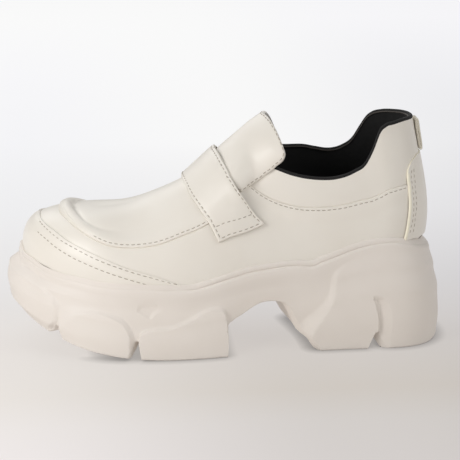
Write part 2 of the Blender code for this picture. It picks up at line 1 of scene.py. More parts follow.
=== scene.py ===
"""Platform loafer, left shoe: smooth leather-look upper, saddle strap and padded collar on a chunky
moulded sole.  Tables and sizes are in millimetres, meshes in metres, toe towards -X, outer side -Y.
"""
import logging
import math
from dataclasses import dataclass, field
from enum import Enum

import bmesh
import bpy
import numpy as np
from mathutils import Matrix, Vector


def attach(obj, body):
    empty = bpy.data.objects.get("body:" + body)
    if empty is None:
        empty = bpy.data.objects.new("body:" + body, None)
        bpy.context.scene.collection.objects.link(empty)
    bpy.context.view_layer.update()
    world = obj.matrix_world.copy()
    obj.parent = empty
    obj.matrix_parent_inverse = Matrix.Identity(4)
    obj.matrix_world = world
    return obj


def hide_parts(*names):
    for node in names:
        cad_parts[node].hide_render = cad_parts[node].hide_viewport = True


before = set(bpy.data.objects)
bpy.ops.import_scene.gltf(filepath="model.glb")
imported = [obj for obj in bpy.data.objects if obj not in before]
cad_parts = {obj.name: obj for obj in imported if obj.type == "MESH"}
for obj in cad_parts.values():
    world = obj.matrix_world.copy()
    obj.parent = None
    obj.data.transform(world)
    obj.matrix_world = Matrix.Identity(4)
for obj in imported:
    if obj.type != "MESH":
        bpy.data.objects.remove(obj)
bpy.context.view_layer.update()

logging.basicConfig(level=logging.INFO, format="%(message)s")
LOG = logging.getLogger("loafer")
MM = 0.001
Array = np.ndarray
Table = dict[str, np.ndarray]


class Side(Enum):
    """The two sides of the shoe, with their sign along Y."""

    OUTER = -1.0
    INNER = 1.0


# ----------------------------------------------------------------------------- curves
def table(names: str, rows: list[tuple]) -> Table:
    """Make a short table.

    Args:
        names: the columns' names, with spaces between.
        rows: a row of numbers for each section.

    Returns:
        Column name -> array.
    """
    return {name: np.array(values, float) for name, values in zip(names.split(), zip(*rows))}


def table_field(names: str, rows: list[tuple]) -> Table:
    """Short table as a field of a frozen dataclass.

    Args:
        names: the columns' names, with spaces between.
        rows: a row of numbers for each section.

    Returns:
        The field.
    """
    return field(default_factory=lambda: table(names, rows))


def follow(rows: Table, column: str, x: Array, key: str = "x") -> Array:
    """Smooth curve without overshoot through one column of a table.

    Args:
        rows: the table.
        column: the column to read.
        x: where to read it.
        key: the column that runs along.

    Returns:
        The column's value at each x.
    """
    xs, ys = rows[key], rows[column]
    x = np.clip(np.asarray(x, float), xs[0], xs[-1])
    step = np.diff(xs)
    slope = np.diff(ys) / step
    tangent = np.empty_like(ys)
    tangent[0], tangent[-1] = slope[0], slope[-1]
    mean = (step[:-1] * slope[1:] + step[1:] * slope[:-1]) / (step[:-1] + step[1:])
    limit = 3 * np.minimum(np.abs(slope[:-1]), np.abs(slope[1:]))
    tangent[1:-1] = np.where(slope[:-1] * slope[1:] > 0, np.clip(mean, -limit, limit), 0)
    i = np.clip(np.searchsorted(xs, x, side="right") - 1, 0, len(xs) - 2)
    t = (x - xs[i]) / step[i]
    return ((2 * t - 3) * t * t + 1) * ys[i] + ((t - 2) * t + 1) * t * tangent[i] * step[i] \
        + (3 - 2 * t) * t * t * ys[i + 1] + (t - 1) * t * t * tangent[i + 1] * step[i]


def ease(t: Array) -> Array:
    """Soft step from 0 to 1.

    Args:
        t: share of the step.

    Returns:
        Its eased value.
    """
    t = np.clip(t, 0, 1)
    return t * t * (3 - 2 * t)


def beyond(x: Array, zone: tuple[float, float]) -> Array:
    """Soft step along a line.

    Args:
        x: where to read it.
        zone: where it starts and how long it takes.

    Returns:
        0 before the zone, 1 past it.
    """
    start, reach = zone
    return ease((x - start) / reach)


def bump(x: Array, centre: float | Array, width: float | Array) -> Array:
    """Bell curve of height 1.

    Args:
        x: where to read it.
        centre: its middle.
        width: its half width.

    Returns:
        The bell's height.
    """
    return np.exp(-((x - centre) / width) ** 2)


def rounded(share: Array) -> Array:
    """Quarter-round edge profile from 0 to 1.

    Args:
        share: distance from the edge over the edge's radius.

    Returns:
        Height over full height.
    """
    return np.sqrt(1 - (1 - np.clip(share, 0, 1)) ** 2)


def bezier(p0: Array, p1: Array, p2: Array, p3: Array, t: Array) -> Array:
    """Cubic curve through its two ends.

    Args:
        p0: start.
        p1: start handle.
        p2: end handle.
        p3: end.
        t: share along it.

    Returns:
        The curve's value.
    """
    s = 1 - t
    return s ** 3 * p0 + 3 * s * s * t * p1 + 3 * s * t * t * p2 + t ** 3 * p3


def unit(v: Array) -> Array:
    """Vectors made one long.

    Args:
        v: vectors along the last axis.

    Returns:
        Unit vectors.
    """
    return v / (np.linalg.norm(v, axis=-1, keepdims=True) + 1e-12)


def matched(*values: Array | float) -> list[Array]:
    """Numbers and arrays stretched to one shape.

    Args:
        *values: the numbers and arrays.

    Returns:
        An array for each.
    """
    return np.broadcast_arrays(*(np.asarray(v, float) for v in values))


def along_line(points: Array) -> Array:
    """Running length of a line.

    Args:
        points: its points.

    Returns:
        Length from its start to each point.
    """
    return np.concatenate([[0], np.cumsum(np.linalg.norm(np.diff(points, axis=0), axis=-1))])


def outline_depth(x: Array, z: Array, corners: Table) -> tuple[Array, Array]:
    """Signed distance inside a closed outline, and the edge's own width beside each point.

    Args:
        x: points' x.
        z: points' z.
        corners: the outline's x, z and width.

    Returns:
        Distance inside (negative outside) and edge width.
    """
    ax, az = corners["x"], corners["z"]
    bx, bz = np.roll(ax, -1), np.roll(az, -1)
    best = np.full(x.shape, 1e9)
    width = np.ones(x.shape)
    inside = np.zeros(x.shape, bool)
    for i in range(len(ax)):
        ex, ez = bx[i] - ax[i], bz[i] - az[i]
        s = np.clip(((x - ax[i]) * ex + (z - az[i]) * ez) / (ex * ex + ez * ez + 1e-9), 0, 1)
        away = np.hypot(x - ax[i] - s * ex, z - az[i] - s * ez)
        nearer = away < best
        best = np.where(nearer, away, best)
        j = (i + 1) % len(ax)
        width = np.where(nearer, corners["width"][i] * (1 - s) + corners["width"][j] * s, width)
        crosses = (az[i] > z) != (bz[i] > z)
        inside ^= crosses & (x < ax[i] + (z - az[i]) * ex / (ez if abs(ez) > 1e-9 else 1e-9))
    return np.where(inside, best, -best), width


def smooth_outline(corners: Table, steps: int = 6) -> Table:
    """A closed outline with its corners rounded by a curve through them.

    Args:
        corners: the outline.
        steps: points for each side.

    Returns:
        The denser outline.
    """
    count = len(corners["x"])
    s = np.arange(count * steps) / steps
    i = s.astype(int)
    f = s - i
    result = {}
    for name, v in corners.items():
        a, b, c, d = (v[(i + k) % count] for k in (-1, 0, 1, 2))
        result[name] = 0.5 * (2 * b + (c - a) * f + (2 * a - 5 * b + 4 * c - d) * f * f
                              + (3 * b - a - 3 * c + d) * f ** 3)
    return result


# ----------------------------------------------------------------------------- the last
@dataclass(frozen=True)
class Last:
    """The form that the shoe is made on: a shell from the feather line to the top line, and the sole's rim.

    Attributes:
        *_cap, *_round: length and roundness of a plan's end, 2 is an ellipse.
        throat, collar_*: front, back, half width, roundness and sideways lean of the opening.
        side_gain: how soon the walls beside the throat stand up.
        low_handle, high_handle: how far upright walls run straight at the feather line and the collar.
        plan: middle and half width of the feather line.
        top, top_centre: crest of the forepart; reach: the place on it above a station.
        fullness, bulge: how full the forepart is, and how far the wall bows out.
    """

    toe: float = -129.0
    heel: float = 127.2
    sole_toe: float = -140.0
    sole_heel: float = 140.0
    toe_cap: float = 66.0
    heel_cap: float = 35.0
    toe_round: float = 2.12
    heel_round: float = 2.25
    sole_heel_round: float = 2.5
    sole_spread: float = 6.6
    gap: float = 0.4
    throat_station: float = -1.0
    throat: float = 6.0
    collar_back: float = 119.6
    collar_half: float = 32.5
    collar_round: float = 2.25
    collar_lean: float = -1.5
    side_gain: float = 1.05
    low_handle: float = 0.36
    high_handle: float = 0.34
    plan: Table = table_field("x centre half", [
        (-129, 9.8, 46.5), (-100, 4.2, 48), (-65, 0.2, 49), (-40, -1.2, 48.6), (-15, -2.8, 45.2),
        (15, -3, 40), (45, -1.8, 37.2), (80, 0, 36.6), (130, 0.8, 36.6)])
    heights: Table = table_field("x welt ridge footbed", [
        (-129, 62.5, 56.5, 56.5), (-128.4, 60.6, 54.6, 56.3), (-127.4, 58.9, 52.9, 56),
        (-125.3, 58.3, 52.2, 55.6), (-122.6, 58, 51.8, 55), (-116, 55.2, 49, 53.5), (-105.8, 53, 46.6, 50.3),
        (-95, 51.9, 45.3, 48.2), (-83, 50.3, 43.2, 46.5), (-70, 49.3, 42.2, 45.1), (-51, 48.5, 41.4, 43.7),
        (-36, 47.8, 40.6, 42.8), (-26, 47.8, 40.5, 42.8), (-14, 50.2, 42.9, 44.2), (-1.4, 53.6, 46.3, 45.9),
        (11.4, 56.7, 49.4, 48.5), (24, 58.2, 50.9, 50.9), (32, 59, 51.7, 52.2), (40, 59.2, 51.9, 53.2),
        (50, 58.4, 51.1, 54.6), (57, 60.9, 53.7, 55.8), (63.6, 63.1, 56, 57.3), (74.5, 67.2, 60.2, 60.2),
        (86.8, 70.5, 63.6, 63.6), (98.5, 71.6, 64.8, 65.5), (111, 69.8, 63.2, 65.9), (119.6, 67.1, 60.6, 66),
        (127, 64.4, 58, 66)])
    top: Table = table_field("x z", [
        (-97, 86), (-84, 86.2), (-70, 87.2), (-58, 90.2), (-44, 95.8), (-28, 103.2), (-10, 114.2),
        (6, 124.6)])
    top_centre: Table = table_field("x y", [
        (-97, 4), (-60, 1), (-30, -1), (6, -1.5)])
    reach: Table = table_field("x top", [
        (-129, -80), (-118, -78), (-104, -74), (-88, -69), (-70, -61.5), (-50, -47.5), (-30, -28), (-12, -8),
        (-1, 6)])
    fullness: Table = table_field("x side top", [
        (-129, 0.74, 0.84), (-100, 0.8, 0.75), (-60, 0.57, 0.57), (-20, 0.54, 0.55), (10, 0.5, 0.5)])
    bulge: Table = table_field("x low high", [
        (-129, 0.25, 0), (-100, 1.4, 0), (-50, 1, 0), (0, 0.5, 0), (60, 1.5, 0.6), (110, 2.5, 2),
        (130, 2.6, 2.2)])
    collar: Table = table_field("x outer inner", [
        (6, 124.6, 124.6), (14, 121.2, 122.4), (29, 115.4, 119.4), (40, 111.6, 117.6), (54, 109.2, 117),
        (62, 108.9, 115.4), (70, 109.9, 114.2), (79, 113.2, 116.2), (86, 118, 121.4), (91, 127.6, 129.8),
        (95, 137.6, 136), (99, 141, 139.2), (104, 141.9, 140.8), (113, 143, 141.9), (121, 142.6, 142.6)])

    def outline(self, x: Array, side: Array, toe: float, heel: float, scale: float, heel_round: float,
                spread: float) -> Array:
        """One side of a plan outline, rounded off at both ends.

        Args:
            x: where to read it.
            side: -1 outer, 1 inner.
            toe: its toe tip.
            heel: its heel tip.
            scale: its length over the last's.
            heel_round: roundness at the heel, 2 is an ellipse.
            spread: how far it stands out from the last.

        Returns:
            The outline's y.
        """
        front = np.clip((toe - x) / (self.toe_cap * scale) + 1, 0, 1)
        back = np.clip((x - heel) / (self.heel_cap * scale) + 1, 0, 1)
        cap = (1 - front ** self.toe_round) ** (1 / self.toe_round) \
            * (1 - back ** heel_round) ** (1 / heel_round)
        return follow(self.plan, "centre", x) + side * (follow(self.plan, "half", x) + spread) * cap

    @property
    def sole_scale(self) -> float:
        """Length of the sole over that of the last.

        Returns:
            The ratio.
        """
        return (self.sole_heel - self.sole_toe) / (self.heel - self.toe)

    def feather(self, station: Array, side: Array) -> tuple[Array, Array]:
        """Feather line, where the upper meets the sole.

        Args:
            station: x along it.
            side: -1 outer, 1 inner.

        Returns:
            Its x and y.
        """
        return station, self.outline(station, side, self.toe, self.heel, 1, self.heel_round, 0)

    def rim(self, station: Array, side: Array) -> tuple[Array, Array]:
        """Widest outline of the sole, beside the same station.

        Args:
            station: x on the feather line.
            side: -1 outer, 1 inner.

        Returns:
            The rim's x and y.
        """
        x = self.sole_toe + (station - self.toe) * self.sole_scale
        return x, self.outline(x, side, self.sole_toe, self.sole_heel, self.sole_scale,
                               self.sole_heel_round, self.sole_spread)

    def station_beside(self, sole_x: Array) -> Array:
        """Station beside a place on the sole's rim.

        Args:
            sole_x: x on the rim.

        Returns:
            The station.
        """
        return self.toe + (np.asarray(sole_x, float) - self.sole_toe) / self.sole_scale

    def rear_share(self, station: Array) -> Array:
        """Share of the way round the heel, from the throat to the back.

        Args:
            station: stations behind the throat.

        Returns:
            0 at the throat, 1 at the back.
        """
        length = self.heel - self.throat_station
        trial = self.throat_station + length * np.sin(np.linspace(0, math.pi / 2, 400))
        way = along_line(np.stack(self.feather(trial, -1.0), axis=-1))
        return np.interp(station, trial, way / way[-1])

    def collar_point(self, station: Array, side: Array) -> tuple[Array, Array, Array, Array]:
        """Collar line above a station.

        Args:
            station: stations behind the throat.
            side: -1 outer, 1 inner.

        Returns:
            x, y, z and how far the point is out to the side.
        """
        share = self.rear_share(station)
        cos, sin = np.cos(math.pi * share), np.sin(math.pi * share)
        reach = (self.collar_back - self.throat) / 2
        x = self.throat + reach - reach * np.sign(cos) * np.abs(cos) ** (2 / self.collar_round)
        out = np.abs(sin) ** (2 / self.collar_round)
        centre = self.collar_lean * (self.collar_back - x) / (self.collar_back - self.throat)
        z = np.where(side < 0, follow(self.collar, "outer", x), follow(self.collar, "inner", x))
        return x, centre + side * self.collar_half * out, z, np.where(share > 0.5, 1, out)

    def shell(self, station: Array, side: Array, t: Array) -> Array:
        """Outside of the plain upper.

        Args:
            station: x on the feather line.
            side: -1 outer, 1 inner.
            t: 0 at the feather line, 1 at the top or collar line.

        Returns:
            Points in millimetres.
        """
        station, side, t = matched(station, side, t)
        fx, fy = self.feather(station, side)
        fz = follow(self.heights, "footbed", fx) + self.gap
        front = station <= self.throat_station
        top_x = follow(self.reach, "top", station)
        cx, cy, cz, out = self.collar_point(np.maximum(station, self.throat_station), side)
        tx = np.where(front, top_x, cx)
        ty = np.where(front, np.interp(top_x, self.top_centre["x"], self.top_centre["y"]), cy)
        tz = np.where(front, follow(self.top, "z", top_x), cz)
        upright = np.where(front, 0, ease(out * self.side_gain))
        rx, ry = self.rim(station, side)
        away = np.hypot(rx - fx, ry - fy) + 1e-9
        ax, ay = (rx - fx) / away, (ry - fy) / away
        side_full, top_full = (follow(self.fullness, name, station) for name in ("side", "top"))
        low = 2 * follow(self.bulge, "low", station)
        high = follow(self.bulge, "high", station) * upright
        lift = (tz - fz) * (side_full + (self.low_handle - side_full) * upright)
        flat = (1 - upright) * top_full
        drop = self.high_handle * (tz - fz) * upright
        return np.stack([
            bezier(fx, fx + ax * low, tx + (fx - tx) * flat + ax * high, tx, t),
            bezier(fy, fy + ay * low, ty + (fy - ty) * flat + ay * high, ty, t),
            bezier(fz, fz + lift, tz - drop, tz, t)], axis=-1)

    def outward(self, station: Array, side: Array, t: Array) -> Array:
        """Unit normal of the shell.

        Args:
            station: x on the feather line.
            side: -1 outer, 1 inner.
            t: place up the section.

        Returns:
            Unit vectors.
        """
        station, side, t = matched(station, side, t)
        span, rise = 0.4, 0.01
        ahead, behind = np.minimum(station + span, self.heel), np.maximum(station - span, self.toe)
        forward = self.shell(ahead, side, t) - self.shell(behind, side, t)
        up = self.shell(station, side, np.minimum(t + rise, 1)) \
            - self.shell(station, side, np.maximum(t - rise, 0))
        return unit(np.cross(forward, up) * -side[..., None])

    def length(self, station: Array, side: Array) -> Array:
        """Length of a section of the shell.

        Args:
            station: x on the feather line.
            side: -1 outer, 1 inner.

        Returns:
            Length from the feather line to the top.
        """
        steps = 25
        t = np.linspace(0, 1, steps).reshape((steps,) + (1,) * np.ndim(station))
        points = self.shell(np.asarray(station)[None], np.asarray(side)[None], t)
        return np.linalg.norm(np.diff(points, axis=0), axis=-1).sum(axis=0)

    def loop(self, count: int, extra: Array = ()) -> tuple[Array, Array]:
        """Stations in even steps once round the shoe: toe, outer side, heel, inner side.

        Args:
            count: steps along one side.
            extra: stations that it must hold.

        Returns:
            Station and side of each.
        """
        middle, half = (self.toe + self.heel) / 2, (self.heel - self.toe) / 2
        trial = middle - half * np.cos(np.linspace(0, math.pi, 3000))
        way = along_line(np.stack(self.feather(trial, -1.0), axis=-1))
        stations = np.interp(np.linspace(0, way[-1], count + 1), way, trial)
        stations[0], stations[-1] = self.toe, self.heel
        if len(extra):
            apart = 0.3
            near = np.abs(stations[:, None] - np.asarray(extra)[None]).min(axis=1)
            keep = (near > apart) | (stations == self.toe) | (stations == self.heel)
            stations = np.unique(np.concatenate([stations[keep], extra]))
        inner = stations[1:-1]
        station = np.concatenate([stations[:1], inner, stations[-1:], inner[::-1]])
        side = np.concatenate([[-1.0], -np.ones(len(inner)), [-1.0], np.ones(len(inner))])
        return station, side


LAST = Last()


# ----------------------------------------------------------------------------- meshes
@dataclass
class Solid:
    """A mesh being put together, in millimetres."""

    points: list = field(default_factory=list)
    faces: list = field(default_factory=list)
    slots: list = field(default_factory=list)
    count: int = 0

    def rows(self, grid: Array) -> Array:
        """Add a grid of points.

        Args:
            grid: points by row and column.

        Returns:
            Their numbers by row and column.
        """
        shape = grid.shape[:-1]
        size = int(np.prod(shape))
        self.points.append(grid.reshape(-1, 3))
        first = self.count
        self.count += size
        return np.arange(first, first + size).reshape(shape)

    def skin(self, numbers: Array, closed: bool = False, slot: int | Array = 0, flip: bool = False) -> None:
        """Add the faces of a grid.

        Args:
            numbers: point numbers by row and column.
            closed: whether the last column meets the first.
            slot: material slot, or one for each row of faces or each face.
            flip: whether the faces turn round.
        """
        if closed:
            numbers = np.concatenate([numbers, numbers[:, :1]], axis=1)
        a, b = numbers[:-1, :-1], numbers[:-1, 1:]
        c, d = numbers[1:, 1:], numbers[1:, :-1]
        quads = np.stack([a, d, c, b] if flip else [a, b, c, d], axis=-1)
        slots = np.broadcast_to(np.asarray(slot)[:, None] if np.ndim(slot) == 1 else slot, a.shape)
        self.faces.append(quads.reshape(-1, 4))
        self.slots.append(np.array(slots).ravel())

    def close_across(self, ring: Array, points: Array) -> None:
        """Close a ring round the shoe with rows from side to side.

        Args:
            ring: its point numbers.
            points: its points.
        """
        half = len(ring) // 2
        outer = np.arange(half + 1)
        inner = (-outer) % len(ring)
        shares = np.array([0.0, 0.12, 0.3, 0.5, 0.7, 0.88, 1.0])[:, None, None]
        numbers = self.rows(points[outer] + (points[inner] - points[outer]) * shares)
        numbers[0], numbers[-1] = ring[outer], ring[inner]
        self.skin(numbers)

    def mesh(self, name: str, materials: list, weld: float = 0.004, sharp: float = 40.0) -> bpy.types.Object:
        """Finish the mesh as a closed object.

        Args:
            name: the piece's name.
            materials: its materials, a slot each.
            weld: distance in millimetres under which points become one.
            sharp: angle in degrees over which an edge is sharp.

        Returns:
            The object.
        """
        points = np.concatenate(self.points) * MM
        data = bpy.data.meshes.new(name)
        data.from_pydata(points.tolist(), [], np.concatenate(self.faces).tolist())
        data.polygons.foreach_set("material_index", np.concatenate(self.slots).astype(np.int32))
        bm = bmesh.new()
        bm.from_mesh(data)
        bmesh.ops.remove_doubles(bm, verts=bm.verts, dist=weld * MM)
        bmesh.ops.dissolve_degenerate(bm, edges=bm.edges, dist=weld * MM * 0.25)
        bmesh.ops.recalc_face_normals(bm, faces=bm.faces)
        bm.to_mesh(data)
        bm.free()
        data.shade_smooth()
        data.set_sharp_from_angle(angle=math.radians(sharp))
        piece = bpy.data.objects.new(name, data)
        bpy.context.scene.collection.objects.link(piece)
        for material in materials:
            data.materials.append(material)
        return piece


def edge_steps(length: Array, offsets: Array, middle: int) -> Array:
    """Places across a panel: close together at both edges, even between them.

    Args:
        length: the panel's width at each column, in millimetres.
        offsets: distances from an edge.
        middle: number of steps between the edges.

    Returns:
        Shares from 0 to 1, by row and column.
    """
    length = np.asarray(length, float)
    offsets = np.asarray(offsets, float)
    squeeze = np.minimum(1, 0.45 * length / offsets[-1])
    near = offsets[:, None] * (squeeze / length)[None]
    across = np.linspace(0, 1, middle + 1)[1:-1, None]
    last = near[-1:]
    return np.concatenate([near, last + (1 - 2 * last) * across, 1 - near[::-1]])


def tube(path: Array, across: Array, up: Array, radii: tuple[float, float], sides: int) -> Solid:
    """A rolled or corded edge that meets itself.

    Args:
        path: its centreline.
        across: unit vectors across it.
        up: unit vectors square to those.
        radii: half width and half height.
        sides: number of sides.

    Returns:
        The solid.
    """
    turn = np.linspace(0, 2 * math.pi, sides, endpoint=False)[:, None, None]
    grid = path[None] + across[None] * np.cos(turn) * radii[0] + up[None] * np.sin(turn) * radii[1]
    solid = Solid()
    numbers = solid.rows(grid.transpose(1, 0, 2))
    solid.skin(np.concatenate([numbers, numbers[:1]]), closed=True)
    return solid


# ----------------------------------------------------------------------------- materials
def feed(tree: bpy.types.NodeTree, node: bpy.types.Node, values: dict) -> bpy.types.Node:
    """Set or link a node's inputs.

    Args:
        tree: the node tree.
        node: the node.
        values: input name or number -> constant, or a socket to link from.

    Returns:
        The node.
    """
    for name, value in values.items():
        if isinstance(value, bpy.types.NodeSocket):
            tree.links.new(value, node.inputs[name])
        else:
            node.inputs[name].default_value = value
    return node


def add(tree: bpy.types.NodeTree, kind: str, values: dict | None = None, **settings) -> bpy.types.Node:
    """Add a node and set or link its inputs.

    Args:
        tree: the node tree.
        kind: the node's type.
        values: its inputs, as for feed.
        **settings: the node's own settings.

    Returns:
        The node.
    """
    node = tree.nodes.new(kind)
    for name, value in settings.items():
        setattr(node, name, value)
    return feed(tree, node, values or {})


def shader_group(name: str, inputs: dict[str, float], outputs: list[str]) -> tuple:
    """Start a shared shader group with value inputs and outputs.

    Args:
        name: the group's name.
        inputs: input name -> usual value.
        outputs: output names.

    Returns:
        The tree, its input node and its output node.
    """
    tree = bpy.data.node_groups.new(name, "ShaderNodeTree")
    for label, value in inputs.items():
        tree.interface.new_socket(label, in_out="INPUT", socket_type="NodeSocketFloat").default_value = value
    for label in outputs:
        tree.interface.new_socket(label, in_out="OUTPUT", socket_type="NodeSocketFloat")
    return tree, add(tree, "NodeGroupInput"), add(tree, "NodeGroupOutput")


def leather_grain_group() -> bpy.types.NodeTree:
    """Fine pebbled grain of a coated leather.

    Returns:
        Group with the outputs Height and Mottle.
    """
    tree, source, sink = shader_group("Leather grain", {"Scale": 1.0}, ["Height", "Mottle"])
    place = add(tree, "ShaderNodeTexCoord").outputs["Object"]
    fine = add(tree, "ShaderNodeMath", {0: source.outputs["Scale"], 1: 1500.0}, operation="MULTIPLY")
    cells = add(tree, "ShaderNodeTexVoronoi", {"Vector": place, "Scale": fine.outputs[0]},
                feature="SMOOTH_F1")
    pores = add(tree, "ShaderNodeTexNoise", {"Vector": place, "Scale": 900.0, "Detail": 4.0})
    both = add(tree, "ShaderNodeMath", {0: cells.outputs["Distance"], 1: pores.outputs["Fac"]},
               operation="ADD")
    cloud = add(tree, "ShaderNodeTexNoise", {"Vector": place, "Scale": 26.0, "Detail": 3.0,
                                             "Roughness": 0.55})
    feed(tree, sink, {"Height": both.outputs[0], "Mottle": cloud.outputs["Fac"]})
    return tree


def soft_wear_group() -> bpy.types.NodeTree:
    """Faint scuffs, and darker grey patches near the ground.

    Returns:
        Group with the outputs Scuff and Dust.
    """
    tree, source, sink = shader_group("Soft wear", {"Reach": 0.03}, ["Scuff", "Low darkening"])
    place = add(tree, "ShaderNodeTexCoord").outputs["Object"]
    streak = add(tree, "ShaderNodeMapping", {"Vector": place, "Scale": (1.0, 1.0, 3.5)})
    noise = add(tree, "ShaderNodeTexNoise", {"Vector": streak.outputs[0], "Scale": 60.0, "Detail": 6.0,
                                             "Roughness": 0.7})
    scuff = add(tree, "ShaderNodeMapRange", {"Value": noise.outputs["Fac"], "From Min": 0.56,
                                             "From Max": 0.74})
    height = add(tree, "ShaderNodeSeparateXYZ", {0: place}).outputs["Z"]
    low = add(tree, "ShaderNodeMapRange", {"Value": height, "From Min": source.outputs["Reach"],
                                           "From Max": 0.0})
    patch = add(tree, "ShaderNodeTexNoise", {"Vector": place, "Scale": 34.0, "Detail": 4.0})
    low_darkening = add(tree, "ShaderNodeMath", {0: low.outputs[0], 1: patch.outputs["Fac"]}, operation="MULTIPLY")
    feed(tree, sink, {"Scuff": scuff.outputs[0], "Low darkening": low_darkening.outputs[0]})
    return tree


def weave_group() -> bpy.types.NodeTree:
    """Fine woven or knitted cloth.

    Returns:
        Group with the outputs Height and Thread.
    """
    tree, source, sink = shader_group("Weave", {"Scale": 1.0}, ["Height", "Thread"])
    place = add(tree, "ShaderNodeTexCoord").outputs["Object"]
    pitch = add(tree, "ShaderNodeMath", {0: source.outputs["Scale"], 1: 900.0}, operation="MULTIPLY")
    bands = [add(tree, "ShaderNodeTexWave", {"Vector": place, "Scale": pitch.outputs[0],
                                             "Distortion": 0.6, "Detail": 1.0},
                 bands_direction=axis).outputs["Fac"] for axis in ("X", "Z")]
    both = add(tree, "ShaderNodeMath", {0: bands[0], 1: bands[1]}, operation="MAXIMUM")
    fluff = add(tree, "ShaderNodeTexNoise", {"Vector": place, "Scale": 420.0, "Detail": 3.0})
    feed(tree, sink, {"Height": both.outputs[0], "Thread": fluff.outputs["Fac"]})
    return tree


class Texture(Enum):
    """Which shared group gives a finish its surface."""

    GRAIN = "Leather grain"
    WEAVE = "Weave"


@dataclass(frozen=True)
class Finish:
    """One material of the shoe.

    Attributes:
        name: the material's name.
        colour: its main colour, linear.
        shade: its second colour, mixed in by the texture's noise, linear.
        rough: usual roughness.
        rough_range: how far the roughness varies.
        texture: the shared group for its surface.
        scale: scale of that group.
        relief: depth of the bump in millimetres.
        sheen: constant sheen weight.
        coat: constant coat weight.
        low_darkening: strength of the darker grey patches near the ground.
        low_darkening_tone: their tone over the shade colour.
        coat_rough, ior: constant coat roughness and refraction.
    """

    name: str
    colour: tuple[float, float, float]
    shade: tuple[float, float, float]
    rough: float
    rough_range: float
    texture: Texture
    scale: float = 1.0
    relief: float = 0.02
    sheen: float = 0.0
    coat: float = 0.0
    low_darkening: float = 0.0
    low_darkening_tone: float = 0.72
    coat_rough: float = 0.25
    ior: float = 1.46

    def build(self, groups: dict[str, bpy.types.NodeTree]) -> bpy.types.Material:
        """Make the material.

        Args:
            groups: the shared shader groups by name.

        Returns:
            The material.
        """
        material = bpy.data.materials.new(self.name)
        material.use_nodes = True
        tree = material.node_tree
        detail = feed(tree, add(tree, "ShaderNodeGroup", node_tree=groups[self.texture.value]),
                      {"Scale": self.scale})
        wear = add(tree, "ShaderNodeGroup", node_tree=groups["Soft wear"])
        shaded = add(tree, "ShaderNodeMapRange", {"Value": detail.outputs[1], "From Min": 0.35,
                                                  "From Max": 0.75, "To Max": 0.55})
        colour = add(tree, "ShaderNodeMix", {0: shaded.outputs[0], 6: (*self.colour, 1), 7: (*self.shade, 1)},
                     data_type="RGBA").outputs[2]
        # Darker grey patches low on the piece, from the wear group's height mask and noise.
        if self.low_darkening:
            darkening = add(tree, "ShaderNodeMath", {0: wear.outputs["Low darkening"], 1: self.low_darkening},
                        operation="MULTIPLY")
            grey = tuple(self.low_darkening_tone * c for c in self.shade)
            colour = add(tree, "ShaderNodeMix", {0: darkening.outputs[0], 6: colour, 7: (*grey, 1)},
                         data_type="RGBA").outputs[2]
        rough = add(tree, "ShaderNodeMapRange", {
            "Value": wear.outputs["Scuff"], "To Min": self.rough, "To Max": self.rough + self.rough_range})
        raised = add(tree, "ShaderNodeBump", {"Height": detail.outputs["Height"],
                                              "Distance": self.relief * MM, "Strength": 1.0})
        feed(tree, tree.nodes["Principled BSDF"], {
            "Base Color": colour, "Roughness": rough.outputs[0], "Normal": raised.outputs[0],
            "Sheen Weight": self.sheen, "Coat Weight": self.coat, "Coat Roughness": self.coat_rough,
            "IOR": self.ior})
        return material


LEATHER = Finish("Ivory smooth leather", (0.795, 0.752, 0.68), (0.742, 0.69, 0.612), 0.40, 0.10,
                 Texture.GRAIN, relief=0.010, coat=0.12)
RUBBER = Finish("Ivory moulded sole", (0.762, 0.706, 0.649), (0.718, 0.657, 0.592), 0.52, 0.12,
                Texture.GRAIN, scale=0.6, relief=0.012, low_darkening=0.25)
LINING = Finish("Black textile lining", (0.0065, 0.0062, 0.006), (0.012, 0.0115, 0.011), 0.93, 0.04,
                Texture.WEAVE, scale=1.0, relief=0.05, sheen=0.12)
BINDING = Finish("Black collar binding", (0.008, 0.0075, 0.007), (0.014, 0.013, 0.012), 0.92, 0.05,
                 Texture.WEAVE, scale=1.4, relief=0.03, sheen=0.02)
PIPING = Finish("Brown grey piping", (0.060, 0.050, 0.042), (0.040, 0.033, 0.028), 0.6, 0.1,
                Texture.WEAVE, scale=1.6, relief=0.02)
THREAD = Finish("Beige grey thread", (0.47, 0.41, 0.335), (0.39, 0.335, 0.27), 0.7, 0.1, Texture.WEAVE,
                scale=2.4, relief=0.02)
# Dark beads at the needle holes: painted shade where the thread sinks into the leather.
HOLE_SHADE = Finish("Painted needle hole shade", (0.115, 0.095, 0.075), (0.09, 0.072, 0.055), 0.9, 0.05, Texture.GRAIN)
CUT_EDGE = Finish("Cut leather edge", (0.88, 0.83, 0.68), (0.83, 0.77, 0.61), 0.6, 0.1, Texture.GRAIN,
                  relief=0.02)
WEBBING = Finish("Cream webbing", (0.82, 0.775, 0.665), (0.745, 0.695, 0.58), 0.75, 0.1, Texture.WEAVE,
                 scale=1.0, relief=0.06, sheen=0.1)


class Palette:
    """Makes each finish once."""

    def __init__(self) -> None:
        """Make the shared groups."""
        self.groups = {g.name: g for g in (leather_grain_group(), soft_wear_group(), weave_group())}
        self.made: dict[str, bpy.types.Material] = {}

    def get(self, *finishes: Finish) -> list[bpy.types.Material]:
        """Materials of some finishes.

        Args:
            *finishes: the finishes.

        Returns:
            A material for each.
        """
        for finish in finishes:
            if finish.name not in self.made:
                self.made[finish.name] = finish.build(self.groups)
        return [self.made[finish.name] for finish in finishes]


# ----------------------------------------------------------------------------- stitches
@dataclass(frozen=True)
class Stitch:
    """Size of a row's stitches, in millimetres, and the turn of their threads in radians."""

    pitch: float = 3.4
    length: float = 1.7
    width: float = 0.72
    height: float = 0.42
    jitter: float = 0.06
    # hole and hole_height size the dark beads of painted shade at the needle holes.
    hole: float = 0.42
    hole_height: float = 0.24
    rise: float = 0.02


